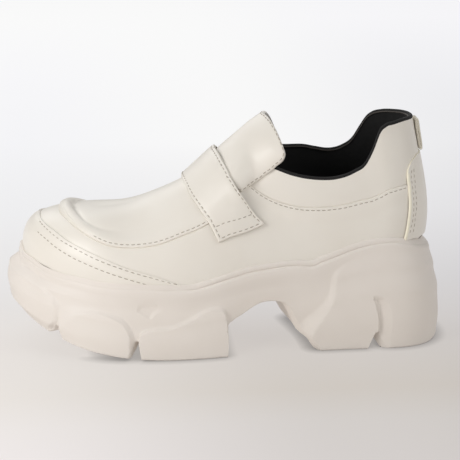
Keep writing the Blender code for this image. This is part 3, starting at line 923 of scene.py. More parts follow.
class Stitching:
    """Rows of stitches, laid by a node tree as one small thread loop for each stitch and a dark bead of
    painted shade at each of its two needle holes.
    """

    def __init__(self, palette: Palette) -> None:
        """Make the node tree.

        Args:
            palette: where the thread's materials come from.
        """
        self.palette = palette
        self.tree = self.make_tree()

    def make_tree(self) -> bpy.types.NodeTree:
        """Node tree that puts one rounded bead on each point.

        Returns:
            The tree.
        """
        tree = bpy.data.node_groups.new("Stitch row", "GeometryNodeTree")
        for label, way, kind in (("Geometry", "INPUT", "Geometry"), ("Size", "INPUT", "Vector"),
                                 ("Jitter", "INPUT", "Float"), ("Material", "INPUT", "Material"),
                                 ("Geometry", "OUTPUT", "Geometry")):
            tree.interface.new_socket(label, in_out=way, socket_type="NodeSocket" + kind)
        source, sink = add(tree, "NodeGroupInput"), add(tree, "NodeGroupOutput")
        normal, line = (add(tree, "GeometryNodeInputNamedAttribute", {"Name": name},
                            data_type="FLOAT_VECTOR").outputs[0] for name in ("out", "along"))
        upright = add(tree, "FunctionNodeAlignRotationToVector", {"Vector": normal}, axis="Z")
        turned = add(tree, "FunctionNodeAlignRotationToVector",
                     {"Rotation": upright.outputs[0], "Vector": line}, axis="X", pivot_axis="Z")
        spread = add(tree, "FunctionNodeRandomValue", {"Min": (0, 0, -1), "Max": (0, 0, 1), "Seed": 7},
                     data_type="FLOAT_VECTOR")
        scaled = add(tree, "ShaderNodeVectorMath",
                     {0: spread.outputs[0], "Scale": source.outputs["Jitter"]}, operation="SCALE")
        jitter = add(tree, "FunctionNodeEulerToRotation", {0: scaled.outputs[0]})
        final = add(tree, "FunctionNodeRotateRotation",
                    {"Rotation": turned.outputs[0], "Rotate By": jitter.outputs[0]}, rotation_space="LOCAL")
        bead = add(tree, "GeometryNodeMeshUVSphere", {"Segments": 8, "Rings": 4, "Radius": 0.5})
        laid = add(tree, "GeometryNodeInstanceOnPoints", {
            "Points": source.outputs["Geometry"], "Instance": bead.outputs[0],
            "Rotation": final.outputs[0], "Scale": source.outputs["Size"]})
        real = add(tree, "GeometryNodeRealizeInstances", {0: laid.outputs[0]})
        painted = add(tree, "GeometryNodeSetMaterial",
                      {"Geometry": real.outputs[0], "Material": source.outputs["Material"]})
        feed(tree, sink, {0: painted.outputs[0]})
        return tree

    def beads(self, name: str, places: Array, along: Array, out: Array, size: tuple, jitter: float,
              finish: Finish) -> bpy.types.Object:
        """Lay beads on points.

        Args:
            name: the piece's name.
            places: points in millimetres.
            along: direction of the row at each.
            out: surface normal at each.
            size: bead's length, width and height in millimetres.
            jitter: turn in radians.
            finish: its finish.

        Returns:
            The piece.
        """
        data = bpy.data.meshes.new(name)
        data.from_pydata((places * MM).tolist(), [], [])
        for label, values in (("along", along), ("out", out)):
            data.attributes.new(label, "FLOAT_VECTOR", "POINT").data.foreach_set("vector", values.ravel())
        carrier = bpy.data.objects.new(name, data)
        bpy.context.scene.collection.objects.link(carrier)
        modifier = carrier.modifiers.new("Row", "NODES")
        modifier.node_group = self.tree
        sockets = {s.name: s.identifier for s in self.tree.interface.items_tree if s.in_out == "INPUT"}
        modifier[sockets["Size"]] = [v * MM for v in size]
        modifier[sockets["Jitter"]] = jitter
        modifier[sockets["Material"]] = self.palette.get(finish)[0]
        graph = bpy.context.evaluated_depsgraph_get()
        made = bpy.data.meshes.new_from_object(carrier.evaluated_get(graph))
        carrier.modifiers.clear()
        carrier.data = made
        made.name = name
        made.shade_smooth()
        bpy.data.meshes.remove(data)
        return carrier

    def sew(self, name: str, rows: list[tuple[Array, Array]], stitch: Stitch = Stitch(),
            slot: str = "upper") -> list[bpy.types.Object]:
        """Sew rows of stitches.

        Args:
            name: the pieces' name.
            rows: for each row its line on the surface and the normals there.
            stitch: the stitches' size.
            slot: not used.

        Returns:
            The thread piece and the piece of dark beads that paint the shade in the needle holes.
        """
        threads, hole_shades = [], []
        step = 0.4

        def read(where: Array, way: Array, values: Array) -> Array:
            """Read vectors along a line.

            Args:
                where: lengths along it.
                way: length at each of its points.
                values: vector at each of its points.

            Returns:
                The vectors.
            """
            return np.stack([np.interp(where, way, values[:, k]) for k in range(3)], axis=-1)

        for line, normals in rows:
            way = along_line(line)
            count = max(int(way[-1] / stitch.pitch), 1)
            at = (np.arange(count) + 0.5) * way[-1] / count
            # Thread loops at the middle of each stitch; dark beads of painted shade at its two needle holes.
            for shift, store in ((0.0, threads), (-0.5, hole_shades), (0.5, hole_shades)):
                where = np.clip(at + shift * stitch.length, 0, way[-1])
                along = unit(read(where + step, way, line) - read(where - step, way, line))
                store.append((read(where, way, line), along, unit(read(where, way, normals))))
        pieces = []
        for label, parts, size, finish, jitter in (
                ("thread", threads, (stitch.length, stitch.width, stitch.height), THREAD, stitch.jitter),
                ("hole_shades", hole_shades, (stitch.hole, stitch.hole, stitch.hole_height), HOLE_SHADE, 0.0)):
            places, along, out = (np.concatenate(v) for v in zip(*parts))
            places = places + out * stitch.rise
            piece = self.beads(f"{name}_{label}", places, along, out, size, jitter, finish)
            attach(piece, "root")
            pieces.append(piece)
        return pieces


# ----------------------------------------------------------------------------- sole
@dataclass(frozen=True)
class Part:
    """A part of the shoe, built with the shared materials and stitches.

    Attributes:
        palette: where its materials come from.
        stitching: sews its rows.
    """

    palette: Palette
    stitching: Stitching


def field_line(rows: list[tuple]) -> Table:
    """Outline of a raised or sunk field on the side wall.

    Args:
        rows: x, z and edge width of each corner.

    Returns:
        The outline with its corners rounded.
    """
    return smooth_outline(table("x z width", rows))


@dataclass(frozen=True)
class Sole(Part):
    """One moulded piece: lip, two beads, side wall with lugs, grooves, arch and tread.

    Sizes are in millimetres; tables along x are read on the rim.

    Attributes:
        levels: places down the wall, 0 at its top, 1 at the ground, of the columns of face and hollow.
        face: how far the lugs stand out, as a share of the way to the rim; hollow: depth between them.
        rolls: strength of the two beads under the lip; roll, bead, bead_rows: their depth and profile.
        arch: line under the waist, moved by far_shift on the inner side.
        rocker, back: where the toe and the heel lift, and the radius.
        raised, slope: outlines of the lugs, and how their edges round off.
        notch_*: the heel's slot is shallower at its front, which leans forward near the ground.
        lip_*: zone in which the welt's ledge ends, its foot, least width and corner.
        border: flat width, inner width and inner step of the tread.
    """

    levels: tuple = (0.0, 0.2, 0.45, 0.75, 1.0)
    face: Table = table_field("x top high middle low foot", [
        (-140, 0.3, 0.88, 1, 0.86, 0.35), (-118, 0.32, 0.78, 0.98, 0.95, 0.62),
        (-85, 0.36, 0.6, 0.82, 0.96, 0.88), (-30, 0.36, 0.55, 0.78, 0.94, 0.9),
        (0, 0.36, 0.52, 0.68, 0.82, 0.84), (28, 0.36, 0.5, 0.66, 0.8, 0.8),
        (55, 0.36, 0.52, 0.72, 0.88, 0.86), (75, 0.34, 0.52, 0.76, 0.92, 0.88),
        (110, 0.36, 0.54, 0.8, 0.94, 0.87), (140, 0.38, 0.6, 0.82, 0.88, 0.8)])
    hollow: Table = table_field("x top high middle low foot", [
        (-140, 0, 1.4, 2.6, 3, 3), (-85, 0, 1.6, 2.6, 3, 3), (-30, 0, 1.9, 2.6, 3, 3), (-5, 0, 2, 3, 4.5, 5),
        (12, 0, 2.2, 4.4, 7, 7.5), (40, 0, 2.2, 4.6, 7.5, 8), (56, 0, 2.2, 3.8, 6.5, 6),
        (66, 0, 2.2, 3, 5, 4), (80, 0, 2.2, 2.6, 3, 3), (140, 0, 2.2, 2.6, 3, 3)])
    rolls: Table = table_field("x height", [
        (-140, 0.8), (-132, 0.6), (-122, 0.3), (-110, 0.15), (-60, 0.15), (-34, 0.4), (-12, 0.95), (10, 1),
        (108, 1), (122, 0.55), (140, 0.4)])
    bead: Table = table_field("share out", [
        (0, 0), (0.05, 0.6), (0.12, 0.93), (0.2, 1), (0.4, 0.86), (0.49, 0.42), (0.54, 0.34), (0.6, 0.66),
        (0.68, 0.95), (0.76, 1), (1, 1)])
    bead_rows: tuple = (0, 0.02, 0.04, 0.065, 0.095, 0.13, 0.17, 0.22, 0.28, 0.34, 0.40, 0.44, 0.47, 0.50,
                        0.53, 0.56, 0.59, 0.62, 0.66, 0.70, 0.75, 0.82, 0.90, 1.0)
    grooves: Table = table_field("front roof_front roof_back back roof", [
        (-117.8, -112.6, -108.5, -108.1, 19.2), (-66, -62.6, -59.3, -57.5, 12),
        (88.7, 92.9, 98.6, 102.2, 10.5)])
    arch: Table = table_field("x z", [
        (-2.3, 0), (-1.7, 18.6), (1.9, 21.9), (9, 25.6), (16, 29.7), (19.5, 31.5), (23, 32.6), (29, 33.1),
        (36, 31.9), (40.5, 29.5), (43.5, 25), (47.5, 18.4), (50.2, 12.4), (54, 5.8), (56.4, 2.4), (58.6, 0)])
    far_shift: float = 6.0
    far_zone: tuple = (12.0, 28.0)
    rocker: tuple = (-38.0, 230.0)
    back: tuple = (128.0, 40.0)
    raised: tuple = field(default_factory=lambda: (
        field_line([
            (-200, -9, 3), (-200, 62, 6), (-140, 60, 9), (-134, 52.5, 6), (-128.2, 48.2, 3.5),
            (-123.4, 44.5, 2.6), (-119.3, 39.8, 2), (-114.3, 36.2, 1.8), (-111.6, 32.2, 1.6),
            (-111.2, 27, 1.6), (-112.4, 21.4, 1.6), (-118, 13.9, 1.4), (-121, -9, 1.4)]),
        field_line([
            (-107.9, -9, 1.4), (-108.1, 12, 1.4), (-108.6, 19, 5), (-105, 23, 10), (-100, 27, 8),
            (-95, 29.3, 5), (-88, 30, 3.4), (-81, 29.2, 2.4), (-76.2, 27.7, 2), (-71.4, 25.1, 1.8),
            (-67.9, 21.4, 1.8), (-65.5, 17.4, 1.8), (-64.6, 13, 1.8), (-65, 7.8, 1.6), (-66.2, -9, 1.2)]),
        field_line([
            (-57.4, -9, 1.2), (-58.2, 6, 1.4), (-58.8, 11, 1.8), (-58.6, 15, 2), (-56.7, 17.5, 2),
            (-52.5, 19.1, 2), (-45.9, 19.6, 2), (-38.7, 20.4, 2), (-31.4, 22.8, 2), (-24.4, 25.9, 2),
            (-18.6, 29.2, 2), (-13.2, 30.6, 2), (-7.5, 30.6, 2), (-4.3, 28.3, 2), (-3.1, 23.3, 2),
            (-2.6, 17, 1.4), (-2.4, -9, 1.4)]),
        field_line([
            (200, -9, 3), (51.4, -9, 2), (51.8, 4, 3), (52.8, 10.2, 4.5), (55.7, 16, 6), (60.2, 21.3, 6),
            (64.6, 27.3, 4.2), (67.4, 34, 2.4), (69.6, 41.8, 2), (70.6, 47.4, 1.9), (72.9, 51.2, 1.8),
            (76.6, 54.3, 1.8), (81.6, 57, 1.9), (88, 58.9, 2.4), (96, 61.5, 3.5), (104, 67, 4),
            (120, 75, 4), (200, 75, 4)])))
    dent: Table = field(default_factory=lambda: field_line([
        (-62, 31.7, 1.2), (-59.4, 29.6, 0.9), (-56.6, 27.7, 1), (-54.3, 26.4, 1.2), (-52.2, 26.6, 2.5),
        (-49.5, 28.8, 4), (-45.6, 31.6, 4), (-46, 38, 8), (-53, 41, 9), (-61, 37, 6)]))
    notch: Table = field(default_factory=lambda: field_line([
        (89.9, -9, 1), (90.2, 1, 1), (92.5, 5.2, 1), (94, 10.5, 1), (94.6, 14, 1), (94.4, 19, 1),
        (94.1, 24.3, 1), (93.5, 28.9, 1), (92.4, 32.6, 1.2), (92.9, 34.4, 1.8), (94.8, 34.6, 2.4),
        (97.6, 33.8, 2.4), (100.4, 32.2, 2.8), (102.9, 27.9, 3.1), (103.7, 21.4, 3.3), (103.5, 14.8, 3.4),
        (103.4, 8, 3.4), (103.2, 1.5, 3.4), (103, -9, 3.4)]))
    slope: float = 1.5
    lip: float = 1.4
    lip_zone: tuple = (-42.0, 12.0)
    lip_foot: tuple = (0.35, 1.6)
    lip_gap: float = 0.1
    lip_corner: tuple = (0.45, 0.15)
    roll: float = 1.5
    settle: float = 2.5
    dent_depth: float = 0.7
    notch_depth: float = 4.0
    notch_front: tuple = (94.2, 4.2)
    notch_low: float = 9.0
    notch_rest: float = 0.35
    notch_fade: float = 5.5
    edge: float = 1.1
    border: tuple = (3.2, 4.2, 1.0)
    rows: int = 100
    columns: int = 236
    dense: tuple = ((-120, -106, 0.8), (-70, -48, 0.8), (-7, -1, 0.8), (50, 78, 1.1), (88, 104.5, 0.7))

    def ground(self, x: Array) -> Array:
        """Line of the tread without grooves or arch.

        Args:
            x: places along the rim.

        Returns:
            Heights.
        """
        start, radius = self.rocker
        return np.maximum(start - x, 0) ** 2 / (2 * radius)

    def under(self, x: Array, side: Array) -> Array:
        """Underside of the sole, grooves and arch included.

        Args:
            x: places along the rim.
            side: -1 outer, 1 inner; the heel's breast stands further forward on the inner side.

        Returns:
            Heights.
        """
        start, radius = self.back
        height = self.ground(x) + np.maximum(x - start, 0) ** 2 / (2 * radius)
        for front, roof_front, roof_back, back, roof in zip(*self.grooves.values()):
            share = np.minimum((x - front) / (roof_front - front), (back - x) / (back - roof_back))
            height = height + (roof - height) * np.clip(share, 0, 1)
        arch = self.arch
        x = x + self.far_shift * (side > 0) * beyond(x, self.far_zone)
        inside = (x > arch["x"][0]) & (x < arch["x"][-1])
        return np.where(inside, np.maximum(height, follow(arch, "z", x)), height)

    def across_levels(self, rows: Table, x: Array, level: Array) -> Array:
        """Read a table that has a column for each level of the wall.

        Args:
            rows: the table.
            x: places along the rim.
            level: 0 at the top, 1 at the ground.

        Returns:
            The value at each place.
        """
        levels = self.levels
        values = [follow(rows, name, x) for name in ("top", "high", "middle", "low", "foot")]
        result = values[0]
        for k in range(len(values) - 1):
            zone = (levels[k], levels[k + 1] - levels[k])
            result = result + (values[k + 1] - values[k]) * beyond(level, zone)
        return result

    def relief(self, x: Array, z: Array, level: Array) -> Array:
        """How far the wall lies inside the faces of the lugs.

        Args:
            x: places along the rim.
            z: heights.
            level: 0 at the top of the wall, 1 at the ground.

        Returns:
            Depth in millimetres.
        """
        proud = np.zeros(x.shape)
        for outline in self.raised:
            depth, width = outline_depth(x, z, outline)
            proud = np.maximum(proud, np.clip(1 + depth / width, 0, 1) ** self.slope)
        sunk = self.across_levels(self.hollow, x, level) * (1 - proud)
        depth, width = outline_depth(x, z, self.dent)
        sunk = sunk + self.dent_depth * ease(depth / width)
        depth, width = outline_depth(x, z, self.notch)
        front, lean = self.notch_front
        behind = x - front + lean * ease((self.notch_low - z) / self.notch_low)
        slant = self.notch_rest + (1 - self.notch_rest) * ease(behind / self.notch_fade)
        return sunk + self.notch_depth * np.clip(depth / width, 0, 1) * slant

    def stations(self) -> tuple[Array, Array]:
        """Columns round the sole, with extra ones at each corner of the tread.

        Returns:
            Station and side of each.
        """
        spots = [np.linspace(self.grooves[a], self.grooves[b], 5).ravel()
                 for a, b in (("front", "roof_front"), ("roof_back", "back"))]
        spots.append(np.linspace(self.arch["x"][0], self.arch["x"][1], 4))
        spots.extend(np.arange(*zone) for zone in self.dense)
        return LAST.loop(self.columns, LAST.station_beside(np.concatenate(spots)))

    def build(self) -> list[bpy.types.Object]:
        """Build and dress the sole.

        Returns:
            Its piece.
        """
        station, side = self.stations()
        fx, fy = LAST.feather(station, side)
        rx, ry = LAST.rim(station, side)
        away = np.hypot(rx - fx, ry - fy)
        ax, ay = (rx - fx) / away, (ry - fy) / away
        welt, ridge, footbed = (follow(LAST.heights, name, fx) for name in ("welt", "ridge", "footbed"))
        under, ground = self.under(rx, side), self.ground(rx)
        low_wall = LAST.shell(station[None], side[None], np.linspace(0, 0.25, 60)[:, None])
        lip = low_wall[np.argmax(low_wall[..., 2] >= welt, axis=0), np.arange(len(station))]
        rolls = follow(self.rolls, "height", rx)
        grid = []

        def ring(out: Array, z: Array, base: float | Array = 1.0) -> None:
            """Add a ring of points.

            Args:
                out: how far out it lies.
                z: its height.
                base: whether out counts from the lip's line, 0, or the feather line, 1.
            """
            bx, by = lip[:, 0] + (fx - lip[:, 0]) * base, lip[:, 1] + (fy - lip[:, 1]) * base
            grid.append(np.stack([bx + ax * out, by + ay * out, z + 0 * fx], axis=-1))

        ring(LAST.gap + 0 * fx, footbed)
        ring(LAST.gap - self.lip_foot[0], welt - self.lip_foot[1], 0)
        start = self.lip_gap + self.lip * (1 - beyond(fx, self.lip_zone))
        ring(start - self.lip_corner[0], welt - self.lip_corner[1], 0)
        span = welt - ridge
        depth = self.roll * rolls
        top_out = away * follow(self.face, "top", rx)
        for share in self.bead_rows:
            base = start + (top_out - depth - start) * ease(share)
            ring(base + depth * follow(self.bead, "out", share, "share"), welt - span * share, ease(share))
        edge = under + self.edge
        for share in np.linspace(0, 1, self.rows + 1)[1:]:
            z = np.maximum(ridge + (ground + self.edge - ridge) * share, edge)
            level = (ridge - z) / (ridge - ground)
            out = away * self.across_levels(self.face, rx, level) - self.relief(rx, z, level)
            last = top_out + (out - top_out) * ease((ridge - z) / self.settle)
            ring(last, z)
        for turn in (0.3, 0.6, 0.85, 1.0):
            angle = turn * math.pi / 2
            ring(last - self.edge * (1 - math.cos(angle)), under + self.edge * (1 - math.sin(angle)))
        on_ground = np.where(under > ground + 0.5, 0.0, 1.0)
        flat, inside, step = self.border
        ring(last - self.edge - flat, under)
        ring(last - self.edge - inside, under + step * on_ground)
        solid = Solid()
        numbers = solid.rows(np.array(grid))
        solid.skin(numbers, closed=True, flip=True)
        for row in (0, -1):
            solid.close_across(numbers[row], grid[row])
        piece = solid.mesh("sole_unit", self.palette.get(RUBBER), weld=0.02, sharp=42.0)
        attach(piece, "root")
        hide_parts("sole")
        return [piece]


# ----------------------------------------------------------------------------- insole
@dataclass(frozen=True)
class Insole(Part):
    """Textile-covered footbed inside the shoe."""

    thick: float = 4.5
    inset: float = 4.2
    edge: float = 1.5

    def build(self) -> list[bpy.types.Object]:
        """Build and dress the insole.

        Returns:
            Its piece.
        """
        station, side = LAST.loop(90)
        fx, fy = LAST.feather(station, side)
        rx, ry = LAST.rim(station, side)
        away = np.hypot(rx - fx, ry - fy)
        floor = follow(LAST.heights, "footbed", fx) + LAST.gap
        grid = []
        rings = 6
        for turn in np.linspace(0, 1, rings):
            angle = turn * math.pi / 2
            inset = self.inset + self.edge * (1 - math.cos(angle))
            upright = (self.thick - self.edge) * min(turn * (rings - 1), 1)
            z = floor + upright + self.edge * math.sin(angle)
            grid.append(np.stack([fx - (rx - fx) / away * inset, fy - (ry - fy) / away * inset, z], axis=-1))
        solid = Solid()
        numbers = solid.rows(np.array(grid))
        solid.skin(numbers, closed=True)
        for row in (0, -1):
            solid.close_across(numbers[row], grid[row])
        piece = solid.mesh("sock_lining", self.palette.get(LINING))
        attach(piece, "root")
        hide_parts("insole")
        return [piece]


# ----------------------------------------------------------------------------- upper
@dataclass(frozen=True)
class Trough:
    """A soft crease or fold in the leather: a line between two places, its half width and depth."""

    start: tuple[float, float]
    end: tuple[float, float]
    width: float
    depth: float


@dataclass(frozen=True)
class Upper(Part):
    """Vamp, apron, quarters and collar panel as one skin with the seams in it, and its black lining.

    Sizes are in millimetres; a zone is a start and a reach in stations.

    Attributes:
        moc: width, height and groove of the roll along the toe's seam, lower on the outer side.
        apron_edge, quarter_edge: radius, flat and fade of a step at the seam.
        crease, toe_groove: depth, place and width.
        steady: highest place up the forepart where the lining's normals are read.
        rows_to, rows_top: how far down and up from the seam the close rows go; near are their distances.
        sewn: first and last station of the stitches, and 1 above or -1 below the seam.
        trough_length, trough_fade: length of a section in a trough's measure, and how its ends fade.
    """

    wall: float = 2.2
    seam: Table = table_field("x t", [
        (-129, 0.742), (-126.8, 0.725), (-118.3, 0.669), (-111, 0.607), (-104.5, 0.548), (-95.8, 0.468),
        (-85.5, 0.397), (-80, 0.374), (-74.7, 0.361), (-63, 0.357), (-50, 0.354), (-30, 0.38), (-15, 0.386),
        (0, 0.5), (6, 0.61), (11.2, 0.646), (14.2, 0.642), (18, 0.638), (23.6, 0.636), (34.5, 0.634),
        (46.9, 0.632), (61.3, 0.638), (68.7, 0.642), (75.2, 0.648), (82, 0.643), (86.2, 0.63), (90.6, 0.606),
        (94.2, 0.568), (97.9, 0.518), (101.2, 0.484), (105.2, 0.474), (112.5, 0.48), (127.2, 0.478)])
    moc: Table = table_field("x width roll sink", [
        (-129, 6.8, 2.5, 1.2), (-117.5, 8, 2.3, 1), (-110, 9, 2, 0.7), (-99, 9.4, 1.7, 0.45),
        (-88, 10.2, 1.25, 0.3), (-77, 11.4, 0.9, 0.15), (-66, 12.5, 0.5, 0), (-50, 13.5, 0.25, 0),
        (-30, 14, 0, 0), (-15, 14, 0, 0), (40, 15, 0, 0), (130, 15, 0, 0)])
    roll_round: float = 0.65
    sink_at: tuple = (1.12, 0.16)
    near_calm: float = 0.4
    calm_zone: tuple = (-124, 12)
    front_zone: tuple = (-14, 8)
    rear_zone: tuple = (-2, 6)
    apron_step: float = 0.9
    apron_edge: tuple = (0.55, 3, 8)
    quarter_step: float = 0.75
    quarter_edge: tuple = (0.5, 3, 9)
    crease: tuple = (0.28, 0.12, 0.3)
    toe_groove: tuple = (0.45, 2.4, 0.32)
    toe_zone: tuple = (-112, 14)
    stitch_in: float = 1.9
    channel: float = 0.14
    channel_width: float = 0.55
    sewn_zone: tuple = (-100, 8)
    padding: float = 0.9
    padding_round: float = 0.9
    padding_zone: tuple = (4, 22)
    rows_to: float = 5.0
    rows_top: float = 0.96
    columns: int = 250
    below: int = 24
    above: int = 28
    lining: int = 26
    steady: float = 0.9
    sewn: tuple = ((-88.0, -13.0, 1.0), (3.0, 112.5, -1.0))
    trough_length: float = 85.0
    trough_fade: tuple = (0.15, 0.7)
    near: tuple = (0.1, 0.22, 0.38, 0.6, 0.9, 1.25, 1.6, 1.9, 2.25, 2.7, 3.4, 4.3, 5.2, 6.0, 6.7, 7.3, 7.9,
                   8.6, 9.5, 10.6)
    troughs: tuple = (
        Trough((-66, 0.52), (-38, 0.78), 9.0, 0.35),
        Trough((-46, 0.44), (-30, 0.66), 8.0, 0.25),
        Trough((-40, 0.12), (-14, 0.30), 10.0, 0.30),
        Trough((30, 0.30), (62, 0.22), 12.0, 0.35),
        Trough((84, 0.40), (103, 0.28), 9.0, 0.30))

    def seam_at(self, station: Array) -> Array:
        """Height of the main seam.

        Args:
            station: stations.

        Returns:
            Its t.
        """
        return follow(self.seam, "t", station)

    def relief(self, station: Array, side: Array, t: Array, distance: Array) -> Array:
        """Height of the leather over the plain shell.

        Args:
            station: stations.
            side: sides.
            t: places up the section.
            distance: distance above the main seam in millimetres.

        Returns:
            Height in millimetres.
        """
        d = distance / follow(self.moc, "width", station)
        roll = np.where((d > 0) & (d < 1), np.sin(np.pi * np.clip(d, 0, 1)) ** self.roll_round, 0)
        calm = 1 - self.near_calm * (side < 0) * beyond(station, self.calm_zone)
        height = follow(self.moc, "roll", station) * calm * roll \
            - follow(self.moc, "sink", station) * bump(d, *self.sink_at)
        front, rear = 1 - beyond(station, self.front_zone), beyond(station, self.rear_zone)
        deep, at, width = self.crease
        front_sewn = front * beyond(station, self.sewn_zone)
        for away, share, sewn, step, (radius, flat, fade) in (
                (distance, front, front_sewn, self.apron_step, self.apron_edge),
                (-distance, rear, rear, self.quarter_step, self.quarter_edge)):
            edge = rounded(away / radius) * (1 - ease((away - flat) / fade)) * (away > 0)
            height = height + step * share * edge - deep * share * bump(away, -at, width) \
                - self.channel * sewn * bump(away, self.stitch_in, self.channel_width)
        deep, at, width = self.toe_groove
        height = height - deep * (1 - beyond(station, self.toe_zone)) * bump(distance, at, width)
        seam = self.seam_at(station)
        up = np.clip((t - seam) / (1 - seam), 0, 1)
        soft = np.sin(np.pi * up) ** self.padding_round * (t > seam)
        height = height + self.padding * beyond(station, self.padding_zone) * soft
        for trough in self.troughs:
            (s0, t0), (s1, t1) = trough.start, trough.end
            ex, ez = s1 - s0, (t1 - t0) * self.trough_length
            px, pz = station - s0, (t - t0) * self.trough_length
            share = np.clip((px * ex + pz * ez) / (ex * ex + ez * ez), 0, 1)
            away = np.hypot(px - share * ex, pz - share * ez)
            start, span = self.trough_fade
            faded = np.sin(math.pi * (start + span * share))
            height = height - trough.depth * bump(away, 0, trough.width) * faded
        return height

    def surface(self, station: Array, side: Array, t: Array) -> tuple[Array, Array]:
        """Finished outside of the upper.

        Args:
            station: stations.
            side: sides.
            t: places up the section.

        Returns:
            Points and normals.
        """
        station, side, t = matched(station, side, t)
        shape = station.shape
        station, side, t = station.ravel(), side.ravel(), t.ravel()
        normal = LAST.outward(station, side, t)
        distance = (t - self.seam_at(station)) * LAST.length(station, side)
        points = LAST.shell(station, side, t) + normal * self.relief(station, side, t, distance)[:, None]
        return points.reshape(*shape, 3), normal.reshape(*shape, 3)

    def levels(self, station: Array, side: Array) -> Array:
        """Rows of the skin, close together beside the seam and over the roll.

        Args:
            station: stations of the columns.
            side: their sides.

        Returns:
            t by row and column.
        """
        seam, length = self.seam_at(station), LAST.length(station, side)
        near = np.array(self.near)[:, None] / length
        low = near[np.array(self.near) < self.rows_to]
        first = seam - low[-1]
        below = first * np.linspace(0, 1, self.below + 1)[:, None]
        last = np.minimum(seam + near[-1], self.rows_top)
        above = last + (1 - last) * np.linspace(0, 1, self.above + 1)[1:, None]
        close = np.minimum(seam + near, last)
        return np.concatenate([below, (seam - low)[::-1][1:], seam[None], close, above])

    def build(self) -> list[bpy.types.Object]:
        """Build, sew and dress the skin and lining.

        Returns:
            Its pieces.
        """
        station, side = LAST.loop(self.columns)
        t = self.levels(station, side)
        points = self.surface(station[None], side[None], t)[0]
        inner_t = np.linspace(1, 0, self.lining)[:, None] + 0 * station[None]
        steady = np.where(station <= LAST.throat_station, self.steady, 1.0)
        inner = LAST.shell(station[None], side[None], inner_t) \
            - LAST.outward(station[None], side[None], np.minimum(inner_t, steady)) * self.wall
        half = len(station) // 2
        for rows in (points[-1], inner[0]):
            for i in range(1, half):
                if station[i] <= LAST.throat_station:
                    rows[-i] = rows[i] = (rows[i] + rows[-i]) / 2
        solid = Solid()
        numbers = solid.rows(np.concatenate([points, inner]))
        solid.skin(numbers[:len(points)], closed=True)
        solid.skin(numbers[len(points):], closed=True, slot=1)
        # the rim of the opening joins skin and lining; the forepart's top line has no rim
        opening = station >= LAST.throat_station - 1e-6
        outer_top, inner_top = numbers[len(points) - 1], numbers[len(points)]
        for a in range(len(station)):
            b = (a + 1) % len(station)
            if opening[a] and opening[b]:
                solid.skin(np.array([[outer_top[a], outer_top[b]], [inner_top[a], inner_top[b]]]), slot=1)
        solid.skin(np.stack([numbers[-1], numbers[0]]), closed=True, slot=1)
        piece = solid.mesh("upper_skin", self.palette.get(LEATHER, LINING), weld=0.01, sharp=50.0)
        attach(piece, "root")
        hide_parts("upper")
        return [piece, *self.stitching.sew("seam_stitches", self.seam_rows())]

    def seam_rows(self) -> list[tuple[Array, Array]]:
        """Lines of the stitches beside the main seam, on both sides.

        Returns:
            Line and normals of each row.
        """
        rows = []
        for side in Side:
            for first, last, above in self.sewn:
                station = np.linspace(first, last, 220)
                length = LAST.length(station, np.full(station.shape, side.value))
                t = self.seam_at(station) + above * self.stitch_in / length
                rows.append(self.surface(station, side.value, t))
        return rows


# ----------------------------------------------------------------------------- overlays
@dataclass(frozen=True)
class Panel:
    """A sewn-on piece: rows and columns of points on its underside, with its thickness and edge radius."""

    name: str
    thick: float
    radius: float
    offsets: tuple = (0.0, 0.03, 0.12, 0.3, 0.55, 0.9, 1.3, 1.7, 2.1, 2.6, 3.4)

    def solid(self, points: Array, normal: Array, distance: Array, extra: Array | float = 0.0,
              edge_slot: int = 0, edge_band: Array | float = 0.0) -> Solid:
        """Closed panel with rounded edges.

        Args:
            points: its underside.
            normal: normals there.
            distance: distance of each point from the four edges, last axis 4.
            extra: height added to the top.
            edge_slot: material slot of the cut edge.
            edge_band: width of the cut edge seen from above.

        Returns:
            The solid.
        """
        profile = rounded(distance / self.radius).prod(axis=-1)
        solid = Solid()
        upper = solid.rows(points + normal * ((self.thick + extra) * profile)[..., None])
        under = upper.copy()
        under[1:-1, 1:-1] = solid.rows(points[1:-1, 1:-1])
        rim = distance.min(axis=-1)
        solid.skin(upper, slot=np.where((rim[:-1, :-1] + rim[1:, 1:]) / 2 < edge_band, edge_slot, 0))
        solid.skin(under, flip=True)
        return solid


def edge_distance(points: Array) -> Array:
    """Distance of each grid point from the grid's four edges, measured along its rows and columns.

    Args:
        points: the grid.

    Returns:
        Distances, last axis 4: first row, last row, first column, last column.
    """
    down = np.linalg.norm(np.diff(points, axis=0), axis=-1)
    across = np.linalg.norm(np.diff(points, axis=1), axis=-1)
    from_top = np.concatenate([np.zeros((1, points.shape[1])), np.cumsum(down, axis=0)])
    from_left = np.concatenate([np.zeros((points.shape[0], 1)), np.cumsum(across, axis=1)], axis=1)
    return np.stack([from_top, from_top[-1:] - from_top, from_left, from_left[:, -1:] - from_left], axis=-1)


def beside_edge(distance: Array, edge: int, away: float) -> tuple[Array, Array]:
    """Grid places nearest to a line beside one edge of a panel.

    Args:
        distance: distances of the grid from its four edges.
        edge: 0 first row, 1 last row, 2 first column, 3 last column.
        away: the line's distance from that edge.

    Returns:
        Row numbers and column numbers.
    """
    axis = edge // 2
    nearest = np.abs(distance[..., edge] - away).argmin(axis=axis)
    running = np.arange(len(nearest))
    return (running, nearest) if axis else (nearest, running)


def stitched_line(points: Array, normal: Array, height: float) -> tuple[Array, Array]:
    """A row of stitches on top of a panel.

    Args:
        points: its line on the underside.
        normal: normals there.
        height: height of the surface above.

    Returns:
        Line and normals.
    """
    return points + normal * height, normal


